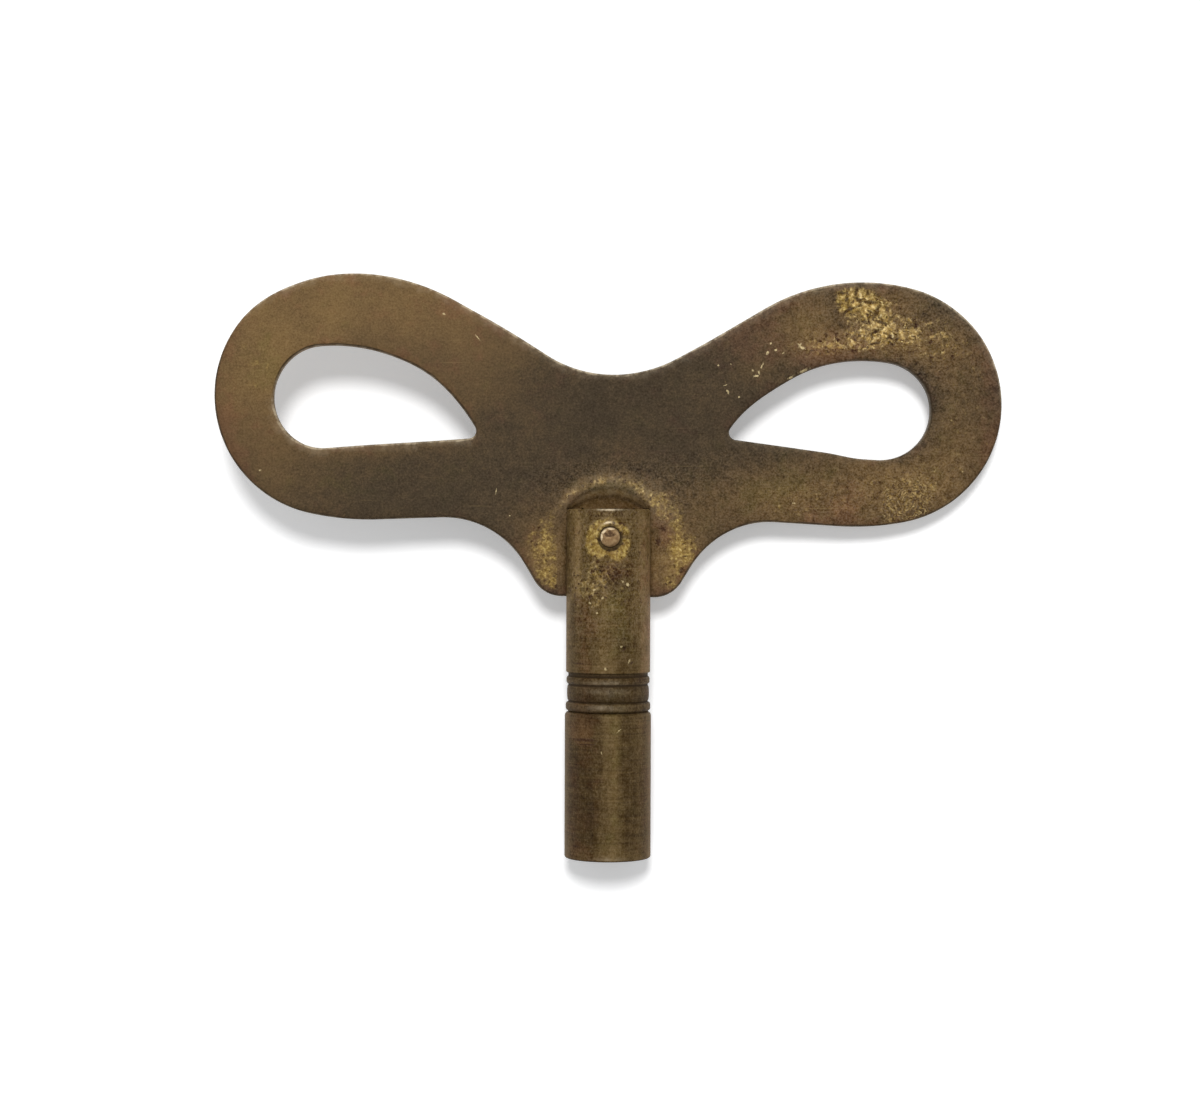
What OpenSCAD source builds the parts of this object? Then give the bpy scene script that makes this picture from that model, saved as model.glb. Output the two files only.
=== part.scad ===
// Winding key for a clock: a pressed sheet wing handle, riveted over a turned shank
// whose lower end holds a square winding socket.
// The key lies on its back. X runs across the wings, Y from the socket's mouth towards the wings,
// and Z up out of the handle's front face. The origin is the middle of the socket's mouth.

/* [Shank] */
// Length of the shank, from the socket's mouth to its square-cut upper end
shank_len = 33.1; // [30:0.1:45]
// Diameter of the upper shank
shank_d = 8; // [7.6:0.1:9]
// Diameter of the socket barrel
barrel_d = 8.2; // [8:0.1:10]
// Length of the socket barrel, from the mouth to the first groove
barrel_len = 13.7; // [13:0.1:16]
// Round on the barrel's upper shoulder
shoulder_r = 0.4; // [0.2:0.05:0.5]
// Chamfer round the socket's mouth and the shank's upper end
end_chamfer = 0.2; // [0.1:0.05:0.4]

/* [Winding socket] */
// Winding square across its flats
square_af = 4.5; // [4:0.25:5]
// Depth of the broached square
square_depth = 12; // [9:0.5:12.5]
// Full depth of the pilot drilling behind the square
pilot_depth = 14; // [13:0.5:16]
// How much the pilot drill is smaller than the square, on each side
pilot_under = 0.1; // [0.05:0.05:0.4]
// Point angle of the pilot drill
pilot_point = 118; // [90:2:140]
// Flare of the square at the mouth, on each side
square_lead = 0.25; // [0.1:0.05:0.35]

/* [Turned rings] */
// Width of each narrow bead
narrow_bead = 0.78; // [0.6:0.02:1]
// Width of the wide bead between them
wide_bead = 1.7; // [1.2:0.1:2.4]
// Width of the flat at the bottom of each groove
groove_w = 0.12; // [0.08:0.02:0.3]
// Depth of the grooves below the upper shank's surface
groove_depth = 0.3; // [0.2:0.05:0.5]
// How far the wide bead's crown lies below the upper shank's surface
wide_bead_drop = 0.11; // [0.05:0.01:0.15]

/* [Wing outline] */
// Radius of the hollow between the wings
waist_r = 12.4; // [8:0.1:18]
// Slope of the straight run from that hollow up to each wing
top_slope = 30.2; // [24:0.2:36]
// Centre of each wing's round tip, out from the middle
tip_x = 26.1; // [23:0.1:30]
// Centre of the tip above the rivet
tip_y = 13.05; // [12:0.05:14]
// Radius of the tip
tip_r = 11.4; // [10:0.1:12.5]
// Radius of the flatter stretch along the wing's top
crown_r = 18.9; // [14:0.1:24]
// Angle round the tip at which the top stretch begins
crown_turn = 76; // [65:1:85]
// Radius of the flatter stretch along the wing's underside
belly_r = 26.4; // [18:0.1:32]
// Angle below the tip at which the underside stretch begins
belly_turn = 78.5; // [70:0.5:85]
// Rise of the straight run along the underside, towards the middle
under_rise = 2.5; // [0:0.5:5]
// Radius of the hollow between the underside and the tongue
throat_r = 8.85; // [6:0.05:11]
// Slope of the tongue's straight flanks
flank_slope = 59; // [50:1:70]
// Centre of each lobe of the tongue, out from the middle
lobe_x = 4.4; // [4:0.1:5]
// Centre of the lobes, below the rivet
lobe_drop = 2.65; // [2:0.05:3]
// Radius of the lobes
lobe_r = 3.05; // [2.6:0.05:3.4]

/* [Wing eyes] */
// Centre of the eye's round outer end, out from the middle
eye_outer_x = 26.6; // [25:0.1:28]
// Centre of the outer end above the rivet
eye_outer_y = 12.6; // [12:0.05:13.5]
// Radius of the outer end
eye_outer_r = 4.75; // [4:0.05:5.5]
// Radius of the eye's upper edge
eye_crown_r = 15.6; // [14:0.1:18]
// Angle round the outer end at which the upper edge begins
eye_crown_turn = 83; // [75:1:90]
// Angle along the upper edge at which it runs into the pointed inner end
eye_inner_turn = 147; // [140:1:152]
// Radius of the inner end
eye_inner_r = 0.7; // [0.4:0.05:1.2]
// How far both eyes sit off the middle, as punched
eye_shift = -0.7; // [-1:0.1:1]
// Turn of the pair of eyes against the outline, as punched
eye_tilt = -0.5; // [-1:0.1:1]
// Turn of the whole wing outline against the shank, as fitted
handle_skew = -0.6; // [-1.5:0.1:1.5]

/* [Pressed sheet] */
// Thickness of the handle's sheet
sheet_t = 1.3; // [1:0.1:1.6]
// Height of the handle's front face above the shank's axis
front_level = 0; // [-0.6:0.1:0.4]
// Clearance between the shank and its pocket
seat_gap = 0.05; // [0.03:0.01:0.12]
// Radius of the pocket's rounded lip
lip_r = 1.1; // [0.8:0.05:1.4]
// How far the lip's round laps into the pocket's round
lip_lap = 0.03; // [0.02:0.01:0.06]
// How far the lip's edge stands out past the pocket's corners
lip_margin = 0.2; // [0.1:0.05:0.4]
// Radius of the pocket's domed end
nose_r = 6; // [5.4:0.1:8]

/* [Rivet] */
// Diameter of the rivet
rivet_d = 1.9; // [1.6:0.1:2.4]
// Distance of the rivet from the shank's upper end
rivet_from_end = 2.65; // [2.3:0.05:3.2]
// Clearance round the rivet
rivet_gap = 0.03; // [0.02:0.01:0.08]
// Width of the countersink's rim round the rivet, on the shank
sink_w = 0.2; // [0.1:0.05:0.3]
// Depth of the countersink
sink_depth = 0.45; // [0.3:0.05:0.8]
// How far the rivet's domed end stands above the shank
rivet_proud = 0.15; // [0.05:0.05:0.3]
// Height of the dome itself
dome_h = 0.4; // [0.2:0.05:0.6]
// How far the peened tail stands out behind the handle
tail_h = 0.55; // [0.3:0.05:0.8]
// Radius of the peened tail's round
tail_r = 2.3; // [2:0.1:3]

/* [Hidden] */
$fn = 96;

// Colours of the aged brass
handle_brown = [0.36, 0.31, 0.23];
shank_brown = [0.43, 0.34, 0.22];
rivet_pale = [0.70, 0.60, 0.47];

// Turn of one straight piece along a round stretch of the outline
arc_step = 4;
// Turn of one straight piece along a small turned or pressed round
round_step = 15;
// Cutters run this far past the faces they cut
over = 1;

// Places along the shank
rivet_y = shank_len - rivet_from_end;
shank_r = shank_d / 2;
barrel_r = barrel_d / 2;
groove_r = shank_r - groove_depth;
// Width of each bead and its rise above the grooves, from the barrel upwards
bead_widths = [narrow_bead, wide_bead, narrow_bead];
bead_rises = [groove_depth, groove_depth - wide_bead_drop, groove_depth];
rings_end = barrel_len + 4 * groove_w + 2 * narrow_bead + wide_bead;

// The pocket and the bulge behind it
pocket_r = shank_r + seat_gap;
pocket_end = shank_len + seat_gap;
nose_y = pocket_end - sqrt(nose_r ^ 2 - pocket_r ^ 2);
bulge_r = pocket_r + sheet_t;
lip_z = front_level - lip_r;
lip_x = sqrt((pocket_r + lip_r - lip_lap) ^ 2 - lip_z ^ 2);
lip_y = pocket_end - sqrt((lip_x - lip_margin) ^ 2 - pocket_r ^ 2);
tongue_bottom = rivet_y - lobe_drop - lobe_r;

// The rivet
rivet_r = rivet_d / 2;
hole_r = rivet_r + rivet_gap;
dome_top = shank_r + rivet_proud;
dome_r = (rivet_r ^ 2 + dome_h ^ 2) / (2 * dome_h);

// Headings of the straight runs of the outline, as it is followed from the top round to the tongue
under_heading = -180 - under_rise;
flank_heading = -180 + flank_slope;

// Circles are [x, y, r]. A path that keeps a circle on its right has r above zero, on its left below.
tip = [tip_x, tip_y, tip_r];
crown = touching_circle(tip, crown_r, crown_turn);
belly = touching_circle(tip, belly_r, -belly_turn);
lobe = [lobe_x, -lobe_drop, lobe_r];
waist = between_circle(-waist_r, mirrored(crown), -top_slope, crown, top_slope);
throat = between_circle(-throat_r, belly, under_heading, lobe, flank_heading);
eye_outer = [eye_outer_x, eye_outer_y, eye_outer_r];
eye_crown = touching_circle(eye_outer, eye_crown_r, eye_crown_turn);
eye_inner = touching_circle(eye_crown, eye_inner_r, eye_inner_turn);

function mirrored(c) = [-c[0], c[1], c[2]];

// Circle of radius r that shares the point of circle c at the angle turn, and its direction there
function touching_circle(c, r, turn) =
    [c[0] + (c[2] - r) * cos(turn), c[1] + (c[2] - r) * sin(turn), r];

// Unit vector to the left of a heading
function left_of(h) = [-sin(h), cos(h)];

// Circle of radius r that touches the straight runs of heading ha past circle a and hb past circle b
function between_circle(r, a, ha, b, hb) =
    let (na = left_of(ha),
         nb = left_of(hb),
         da = [a[0], a[1]] * na + a[2] - r,
         db = [b[0], b[1]] * nb + b[2] - r,
         det = na[0] * nb[1] - na[1] * nb[0])
    [(da * nb[1] - db * na[1]) / det, (db * na[0] - da * nb[0]) / det, r];

// Heading from -270 to 90 degrees, so that a path that turns right keeps falling
function heading(a) = a > 90 ? a - 360 : a;

// Heading of the straight run from circle a to circle b
function run(a, b) =
    let (dx = b[0] - a[0], dy = b[1] - a[1])
    heading(atan2(dy, dx) - asin((a[2] - b[2]) / norm([dx, dy])));

// Points of the path round circle c while its heading turns from one value to another
function bend(c, from, to) =
    let (steps = max(2, ceil(abs(to - from) / arc_step)))
    [for (i = [0:steps])
        let (h = from + (to - from) * i / steps)
        [c[0] - c[2] * sin(h), c[1] + c[2] * cos(h)]];

// Points of a bead's round between two heights on the shank, rising from radius r
function bead(from, width, r, rise) =
    let (round_r = (width ^ 2 / 4 + rise ^ 2) / (2 * rise),
         reach = asin(width / 2 / round_r),
         steps = 8)
    [for (i = [0:steps])
        let (a = reach * (2 * i / steps - 1))
        [r + rise - round_r * (1 - cos(a)), from + width / 2 + round_r * sin(a)]];

// Sum of the first n entries of a list
function sum_of(list, n) = n == 0 ? 0 : list[n - 1] + sum_of(list, n - 1);

// Right half of the wing outline, from the hollow between the wings round to the tongue
half_outline = concat(
    bend(waist, 0, top_slope),
    bend(crown, top_slope, crown_turn - 90),
    bend(tip, crown_turn - 90, -belly_turn - 90),
    bend(belly, -belly_turn - 90, under_heading),
    bend(throat, under_heading, flank_heading),
    bend(lobe, flank_heading, -180));

// One eye, as a closed path
eye_outline = concat(
    bend(eye_crown, eye_inner_turn - 90, eye_crown_turn - 90),
    bend(eye_outer, eye_crown_turn - 90, run(eye_outer, eye_inner)),
    bend(eye_inner, run(eye_outer, eye_inner), eye_inner_turn - 450));

// Shank profile from the mouth to the upper end, as [radius, height]
shank_profile = concat(
    [[0, 0], [barrel_r - end_chamfer, 0], [barrel_r, end_chamfer]],
    [for (a = [0:round_step:90])
        [barrel_r - shoulder_r * (1 - cos(a)), barrel_len - shoulder_r * (1 - sin(a))]],
    [for (i = [0:2])
        each bead(barrel_len + groove_w * (i + 1) + sum_of(bead_widths, i),
                  bead_widths[i], groove_r, bead_rises[i])],
    [[groove_r, rings_end - groove_w], [groove_r, rings_end],
     [shank_r - end_chamfer / 2, rings_end], [shank_r, rings_end + end_chamfer / 2],
     [shank_r, shank_len - end_chamfer], [shank_r - end_chamfer, shank_len], [0, shank_len]]);

// Lip of the pocket in section, from the front face's level down into the pocket
lip_profile =
    let (last = 180 - atan2(-lip_z, lip_x), steps = 8)
    concat(
        [[0, front_level + over], [lip_x, front_level + over]],
        [for (i = [0:steps])
            let (a = 90 + (last - 90) * i / steps)
            [lip_x + lip_r * cos(a), lip_z + lip_r * sin(a)]],
        [[0, lip_z + lip_r * sin(last)]]);

module along_shank() {
    rotate([-90, 0, 0]) children();
}

// The wing outline as fitted, about the rivet
module wing_shape() {
    left_half = [for (i = [len(half_outline) - 1:-1:1]) [-half_outline[i][0], half_outline[i][1]]];
    translate([0, rivet_y]) rotate(handle_skew) polygon(concat(half_outline, left_half));
}

module eye_shapes() {
    translate([0, rivet_y]) rotate(handle_skew)
        translate([eye_shift, eye_outer_y]) rotate(eye_tilt) translate([0, -eye_outer_y])
            for (side = [0, 1]) mirror([side, 0]) polygon(eye_outline);
}

// Round bar along the shank with a domed upper end, from below the tongue
module domed_bar(r, dome) {
    start = tongue_bottom - over;
    along_shank() rotate_extrude() intersection() {
        translate([0, start]) square([r, nose_y + dome - start]);
        union() {
            translate([0, nose_y]) circle(dome);
            translate([0, start]) square([dome, nose_y - start]);
        }
    }
}

// Cutter for the pocket's rounded lip: straight beside the shank and round over its end
module lip_cutter() {
    run_len = lip_y - tongue_bottom + over;
    translate([0, lip_y, 0]) {
        rotate([90, 0, 0]) linear_extrude(run_len) {
            polygon(lip_profile);
            mirror([1, 0]) polygon(lip_profile);
        }
        rotate_extrude(angle = 180) polygon(lip_profile);
    }
}

module rivet_bore() {
    translate([0, rivet_y, -bulge_r - over])
        cylinder(r = hole_r, h = bulge_r + shank_r + 2 * over);
}

// Pressed sheet handle: two eyed wings and a tongue, with the shank's pocket sunk into it
module wing_handle() {
    color(handle_brown) difference() {
        union() {
            translate([0, 0, front_level - sheet_t]) linear_extrude(sheet_t) wing_shape();
            intersection() {
                domed_bar(bulge_r, nose_r + sheet_t);
                translate([0, 0, -bulge_r - over])
                    linear_extrude(bulge_r + over + front_level - sheet_t / 2) wing_shape();
            }
        }
        domed_bar(pocket_r, nose_r);
        lip_cutter();
        translate([0, 0, front_level - sheet_t - over]) linear_extrude(sheet_t + 2 * over) eye_shapes();
        rivet_bore();
    }
}

// Turned shank with its rings, socket and cross hole
module shank() {
    pilot_r = square_af / 2 - pilot_under;
    color(shank_brown) difference() {
        along_shank() rotate_extrude() polygon(shank_profile);
        along_shank() {
            translate([-square_af / 2, -square_af / 2, -over])
                cube([square_af, square_af, square_depth + over]);
            cylinder(r = pilot_r, h = pilot_depth);
            translate([0, 0, pilot_depth]) cylinder(r1 = pilot_r, r2 = 0, h = pilot_r / tan(pilot_point / 2));
        }
        socket_lead();
        rivet_bore();
        translate([0, rivet_y, shank_r - sink_depth])
            cylinder(r1 = hole_r, r2 = hole_r + sink_w * (1 + over / sink_depth), h = sink_depth + over);
    }
}

// Flared mouth of the square: each wall leans out at 45 degrees towards the end face
module socket_lead() {
    half = square_af / 2;
    wide = half + square_lead + over;
    flare = [[-wide, -over], [wide, -over], [half, square_lead], [-half, square_lead]];
    intersection() {
        translate([0, 0, -wide]) linear_extrude(2 * wide) polygon(flare);
        rotate([0, 90, 0]) translate([0, 0, -wide]) linear_extrude(2 * wide) polygon(flare);
    }
}

// Rivet through the shank and the pocket's floor, domed in front and peened behind
module rivet() {
    tail_z = -(bulge_r + tail_h - tail_r);
    color(rivet_pale) translate([0, rivet_y, 0]) union() {
        translate([0, 0, -bulge_r - tail_h / 2])
            cylinder(r = rivet_r, h = bulge_r + tail_h / 2 + dome_top - dome_h);
        intersection() {
            translate([0, 0, dome_top - dome_r]) sphere(dome_r);
            translate([0, 0, dome_top - dome_h]) cylinder(r = rivet_r + over, h = dome_h + over);
        }
        difference() {
            translate([0, 0, tail_z]) sphere(tail_r);
            translate([0, -tail_r - over, 0])
                along_shank() cylinder(r = bulge_r + rivet_gap, h = 2 * (tail_r + over));
        }
    }
}

wing_handle();
shank();
rivet();
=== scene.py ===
from functools import partialmethod
from math import asin, atan2, ceil, cos, degrees, hypot, pi, radians, sin, sqrt

import bpy
import numpy as np
from mathutils import Matrix, Vector, noise
from mathutils.geometry import delaunay_2d_cdt
from mathutils.kdtree import KDTree


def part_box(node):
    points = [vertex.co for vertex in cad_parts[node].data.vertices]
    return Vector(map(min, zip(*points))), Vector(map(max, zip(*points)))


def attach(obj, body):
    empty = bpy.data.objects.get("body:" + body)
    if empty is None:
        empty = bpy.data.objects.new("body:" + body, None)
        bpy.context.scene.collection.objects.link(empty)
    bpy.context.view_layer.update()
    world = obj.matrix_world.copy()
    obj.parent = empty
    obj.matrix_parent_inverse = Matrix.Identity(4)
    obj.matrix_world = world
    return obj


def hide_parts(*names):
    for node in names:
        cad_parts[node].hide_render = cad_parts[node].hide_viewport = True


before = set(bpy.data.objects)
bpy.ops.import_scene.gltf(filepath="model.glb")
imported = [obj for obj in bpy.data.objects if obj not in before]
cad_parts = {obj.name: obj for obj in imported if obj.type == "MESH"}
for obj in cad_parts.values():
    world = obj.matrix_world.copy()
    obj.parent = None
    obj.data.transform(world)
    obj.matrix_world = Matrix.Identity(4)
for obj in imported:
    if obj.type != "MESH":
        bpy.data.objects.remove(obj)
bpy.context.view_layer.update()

# Lengths are in millimetres up to the meshes, which are in metres
MM = 0.001

# Sizes read from the frame
handle_low, handle_high = (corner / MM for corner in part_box("wing_handle"))
_, shank_high = (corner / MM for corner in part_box("shank"))
rivet_low, rivet_high = (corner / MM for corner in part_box("rivet"))
SHANK_LEN = shank_high.y
BARREL_R = shank_high.z
BULGE_R = -handle_low.z
FRONT_Z = handle_high.z
RIVET_Y = (rivet_low.y + rivet_high.y) / 2
DOME_TOP = rivet_high.z
TAIL_LOW = rivet_low.z

# Pressed sheet and its pocket
SHEET_T = 1.3
SHANK_R = 4.0
SEAT_GAP = 0.05
SNUG_GAP = -0.06
POCKET_R = SHANK_R + SEAT_GAP
POCKET_END = SHANK_LEN + SEAT_GAP
NOSE_R = 6.0
NOSE_Y = POCKET_END - sqrt(NOSE_R ** 2 - POCKET_R ** 2)
LIP_X = 5.0
LIP_Y = 30.2
LIP_W = 0.95
LIP_DROP = 0.2
# The pocket's end as seen past the shank: a slope from the lip to an arc, then a floor to the shank
FLOOR_ARC_R = 5.61
FLOOR_ARC_Y = 28.64
SLOPE_DROP = 0.75
FLOOR_DROP = 0.5
SLOPE_POWER = 1.2
# How far past the shank's end the sheet steps from the shank's side to the pocket's end
STEP_FROM, STEP_TO = 0.012, 0.03
# Rounding of the domed end where the sheet wraps the shank, and of the bulge behind
WRAP_BLEND = 0.4
BULGE_BLEND = 1.2

# Wing outline: circles are (x, y, r) about the rivet, headings and turns in degrees
WAIST_R = 12.4
TOP_SLOPE = 30.2
TIP = (26.1, 13.05, 11.4)
CROWN_R = 18.9
CROWN_TURN = 76
BELLY_R = 26.4
BELLY_TURN = 78.5
UNDER_HEADING = -182.5
THROAT_R = 8.85
FLANK_HEADING = -121
LOBE = (4.4, -2.65, 3.05)
HANDLE_SKEW = -0.6
TONGUE_BOTTOM = RIVET_Y + LOBE[1] - LOBE[2]

# Wing eyes
EYE_OUTER = (26.6, 12.6, 4.75)
EYE_CROWN_R = 15.6
EYE_CROWN_TURN = 83
EYE_INNER_TURN = 147
EYE_INNER_R = 0.7
EYE_SHIFT = -0.7
EYE_TILT = -0.5
# How each eye was blanked a little off: shift across and up, turn, and stretch of its height
LEFT_EYE_OFF = (0.13, 0.04, -0.5, 1.027)
RIGHT_EYE_OFF = (0.06, 0.06, -0.9, 0.985)
# Where filing left the edges fuller, or leaner where negative: place about the rivet, reach and amount
FILED_EDGES = (
    (-9.5, 19.3, 6, 0.24), (-30.3, 23.7, 3.5, -0.2), (9.6, 18.8, 5, -0.12), (15.8, 14.8, 3.5, 0.26),
    (-17, 15, 3.5, -0.16), (-29.6, 15, 2.5, 0.1), (-24, 8.4, 6, 0.08), (26.5, 1.4, 8, 0.06),
    (23.6, 7.6, 1.8, -0.16),
)

# Rivet and its hole
RIVET_R = 0.95
HOLE_R = 0.98
SINK_W = 0.17
SINK_DEPTH = 0.16
DOME_H = 0.4
TAIL_R = 2.3

# Edges as worn
FRONT_EDGE = 0.22
REAR_EDGE = 0.16
SHY = 0.012
EDGE_ARC = np.radians((30, 60, 90))
EDGE_WEAR = 0.45
EDGE_WEAR_SIZE = 2.2
BORE_WEAR = 0.4
# Direction in the picture that lit edges face, which sets the painted highlight and painted shade along the
# edges
EDGE_LIGHT = (0.35, 0.94)
# Which loop is the right eye, and how strong the painted highlight and the painted shade on its edges are
# beside the others
RIGHT_EYE = 2
RIGHT_EYE_BRIGHT = 0.25
RIGHT_EYE_DARK = 0.4
# Edges that face this far down, or further, are its upper edges
FACING_DOWN = -0.6
# The facings between which edges get a painted highlight, rims get a painted highlight, and edges get
# painted shade
SHEEN_FACING = (0.1, 0.7)
RIM_FACING = (0.1, 0.8)
DARK_FACING = (0.3, -0.3)
# Strengths of the painted highlight on rims and of the pale sheared walls (bare metal, partly a painted
# reflection), and how much the walls are dulled
RIM_BRIGHT = 0.1
SHEAR_BRIGHT = 0.6
WALL_DULLED = 0.65

# Spacing of mesh points
EDGE_GAP = 0.35
MOUTH_GAP = 0.06
# A run of the outline crosses the mouth if it rises less than this, this near the tongue's lower edge
MOUTH_RISE = 0.2
MOUTH_NEAR = 0.3
BORE_SIDES = 48
FACE_GAP = 0.62
FACE_ROW = 0.866
POCKET_GAP = 0.12
END_GAP = 0.13
END_ROWS = (STEP_FROM, STEP_TO, 0.12, 0.25)
TINY = 1e-6
SHARP_ANGLE = 42

# Waviness of the sheet: where it sets in, from the pocket's middle line, and its heights, sizes and seeds
RIPPLE_FADE = (6.5, 14)
RIPPLES = ((0.07, 17, 1), (0.012, 4, 2))
# Fractal noise: roughness, step between octaves, and how far apart its seeds lie
CLOUD_H = 0.9
CLOUD_STEP = 2.0
SEED_STEP = 17.3
# Share of the way to the neighbours' mean that a height is drawn in a round of softening
PULL = 0.6

# The photograph's frame, and where the key lies in it
PHOTO_W, PHOTO_H = 1200, 1097
FOCAL_PX = 2400
MM_PER_PX = 0.0951
SOCKET_PX = (608.5, 857.2)
CAMERA_ROLL = 2.1
CAMERA_PITCH = 0.4
CAMERA_SPIN = 0.2
SENSOR_MM = 36
NEAREST_M = 0.01

# Floor and light: lengths in metres, power in watts, and the floor's roll in degrees
FLOOR_ROLL = 4.7
FLOOR_HALF = 1.5
FLOOR_COLOUR = (0.95, 0.95, 0.95, 1)
FLOOR_GLOW = 0.25
SURROUND_COLOUR = (0.97, 0.985, 1.0, 1)
SURROUND_LIGHT = 0.44
LAMP_LEAN = Vector((0.03, 0.335, 0))
LAMP_SIZE = 0.14
LAMP_AWAY = 0.6
LAMP_POWER = 2.37


def touching_circle(c, r, turn):
    """Circle of radius r that shares the point of circle c at the angle turn, and its direction there."""
    a = radians(turn)
    return c[0] + (c[2] - r) * cos(a), c[1] + (c[2] - r) * sin(a), r


def between_circle(r, a, a_heading, b, b_heading):
    """Circle of radius r that touches the straight runs past circle a and past circle b."""
    normals = [(-sin(radians(h)), cos(radians(h))) for h in (a_heading, b_heading)]
    offsets = [np.dot(c[:2], n) + c[2] - r for c, n in zip((a, b), normals)]
    x, y = np.linalg.solve(normals, offsets)
    return x, y, r


def run_heading(a, b):
    """Heading of the straight run from circle a to circle b, from -270 to 90 degrees."""
    dx, dy = b[0] - a[0], b[1] - a[1]
    turn = degrees(atan2(dy, dx) - asin((a[2] - b[2]) / hypot(dx, dy)))
    return turn - 360 if turn > 90 else turn


def bend(c, start, end):
    """Points of the path round circle c while its heading turns from start to end."""
    length = radians(abs(end - start)) * abs(c[2])
    steps = max(4, ceil(length / EDGE_GAP))
    h = np.radians(np.linspace(start, end, steps + 1))
    return np.column_stack([c[0] - c[2] * np.sin(h), c[1] + c[2] * np.cos(h)])


def mirrored(points):
    return points * (-1, 1)


def turned(points, angle, centre=(0, 0)):
    a = radians(angle)
    matrix = np.array([[cos(a), -sin(a)], [sin(a), cos(a)]])
    return (points - centre) @ matrix.T + centre


def divided(loop):
    """The closed loop with its long runs divided, finely along the pocket's open mouth."""
    points = []
    for p, q in zip(loop, np.roll(loop, -1, axis=0)):
        across_mouth = abs(p[1] - q[1]) < MOUTH_RISE and p[1] < TONGUE_BOTTOM + MOUTH_NEAR
        gap = MOUTH_GAP if across_mouth else EDGE_GAP
        steps = ceil(np.linalg.norm(q - p) / gap - TINY)
        points += [p + (q - p) * i / steps for i in range(steps)]
    return np.array(points)


def without_repeats(loop):
    steps = np.linalg.norm(loop - np.roll(loop, 1, axis=0), axis=1)
    return loop[steps > TINY]


def wing_loop():
    """The handle's outline, clockwise, so that the metal lies to its right."""
    crown = touching_circle(TIP, CROWN_R, CROWN_TURN)
    belly = touching_circle(TIP, BELLY_R, -BELLY_TURN)
    waist = between_circle(-WAIST_R, (-crown[0], crown[1], crown[2]), -TOP_SLOPE, crown, TOP_SLOPE)
    throat = between_circle(-THROAT_R, belly, UNDER_HEADING, LOBE, FLANK_HEADING)
    half = np.vstack([
        bend(waist, 0, TOP_SLOPE),
        bend(crown, TOP_SLOPE, CROWN_TURN - 90),
        bend(TIP, CROWN_TURN - 90, -BELLY_TURN - 90),
        bend(belly, -BELLY_TURN - 90, UNDER_HEADING),
        bend(throat, UNDER_HEADING, FLANK_HEADING),
        bend(LOBE, FLANK_HEADING, -180)])
    loop = without_repeats(np.vstack([half, mirrored(half)[::-1]]))
    return divided(turned(loop, HANDLE_SKEW) + (0, RIVET_Y))


def eye_loops():
    """Both eyes, counter-clockwise, so that the metal lies to their right."""
    crown = touching_circle(EYE_OUTER, EYE_CROWN_R, EYE_CROWN_TURN)
    inner = touching_circle(crown, EYE_INNER_R, EYE_INNER_TURN)
    along = run_heading(EYE_OUTER, inner)
    eye = without_repeats(np.vstack([
        bend(crown, EYE_INNER_TURN - 90, EYE_CROWN_TURN - 90),
        bend(EYE_OUTER, EYE_CROWN_TURN - 90, along),
        bend(inner, along, EYE_INNER_TURN - 450)]))
    pair = [mirrored(eye), eye[::-1]]
    pair = [turned(e, EYE_TILT, (0, EYE_OUTER[1])) + (EYE_SHIFT, 0) for e in pair]
    loops = []
    for eye, (across, up, turn, stretch) in zip(pair, (LEFT_EYE_OFF, RIGHT_EYE_OFF)):
        eye = turned(eye, HANDLE_SKEW) + (0, RIVET_Y)
        middle = eye.mean(axis=0)
        eye = turned((eye - middle) * (1, stretch), turn) + middle + (across, up)
        loops.append(divided(eye))
    return loops


def bore_loop():
    a = np.linspace(0, 2 * pi, BORE_SIDES, endpoint=False)
    return np.column_stack([HOLE_R * np.cos(a), RIVET_Y + HOLE_R * np.sin(a)])


def facing(loop):
    """Unit directions out of the metal, which lies to the loop's right, for each point."""
    along = np.roll(loop, -1, axis=0) - np.roll(loop, 1, axis=0)
    left = np.column_stack([-along[:, 1], along[:, 0]])
    return left / np.linalg.norm(left, axis=1)[:, None]


def inset(loop, amount):
    """The loop moved into the metal by an amount for each point."""
    return loop - facing(loop) * np.reshape(amount, (-1, 1))


def filed(loop):
    """The loop with the uneven edges that filing left."""
    left = np.zeros(len(loop))
    for x, y, reach, amount in FILED_EDGES:
        away = np.hypot(loop[:, 0] - x, loop[:, 1] - RIVET_Y - y)
        left += amount * np.exp(-(away / reach) ** 2)
    return inset(loop, -left)


def inside(loop, points):
    """True for each point inside the closed loop."""
    found = np.zeros(len(points), bool)
    for p, q in zip(loop, np.roll(loop, -1, axis=0)):
        crosses = (p[1] > points[:, 1]) != (q[1] > points[:, 1])
        rise = q[1] - p[1] if q[1] != p[1] else 1.0
        found ^= crosses & (points[:, 0] < p[0] + (points[:, 1] - p[1]) * (q[0] - p[0]) / rise)
    return found


def on_metal(loops, points):
    """True for each point inside the first loop and outside the others."""
    keep = inside(loops[0], points)
    for hole in loops[1:]:
        keep &= ~inside(hole, points)
    return keep


def fade(value, low, high):
    """0 at low and 1 at high, with a smooth rise or fall between them."""
    t = np.clip((value - low) / (high - low), 0, 1)
    return t * t * (3 - 2 * t)


def smooth_min(a, b, blend):
    """The lesser of a and b, rounded over where they differ by less than blend."""
    close = np.maximum(blend - np.abs(a - b), 0) / blend
    return np.minimum(a, b) - close ** 2 * blend / 4


def clouds(points, size, seed, octaves=4):
    """Fractal noise from about -1 to 1, with features of that size, at points of two or three values."""
    full = np.zeros((len(points), 3))
    full[:, :points.shape[1]] = points
    full = full / size + seed * SEED_STEP
    return np.array([noise.fractal(Vector(p), CLOUD_H, CLOUD_STEP, octaves) for p in full])


def distance_to(points, targets):
    """Distance of each point from the nearest target point."""
    tree = KDTree(len(targets))
    for i, p in enumerate(targets):
        tree.insert((p[0], p[1], 0), i)
    tree.balance()
    return np.array([tree.find((p[0], p[1], 0))[2] for p in points])


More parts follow.
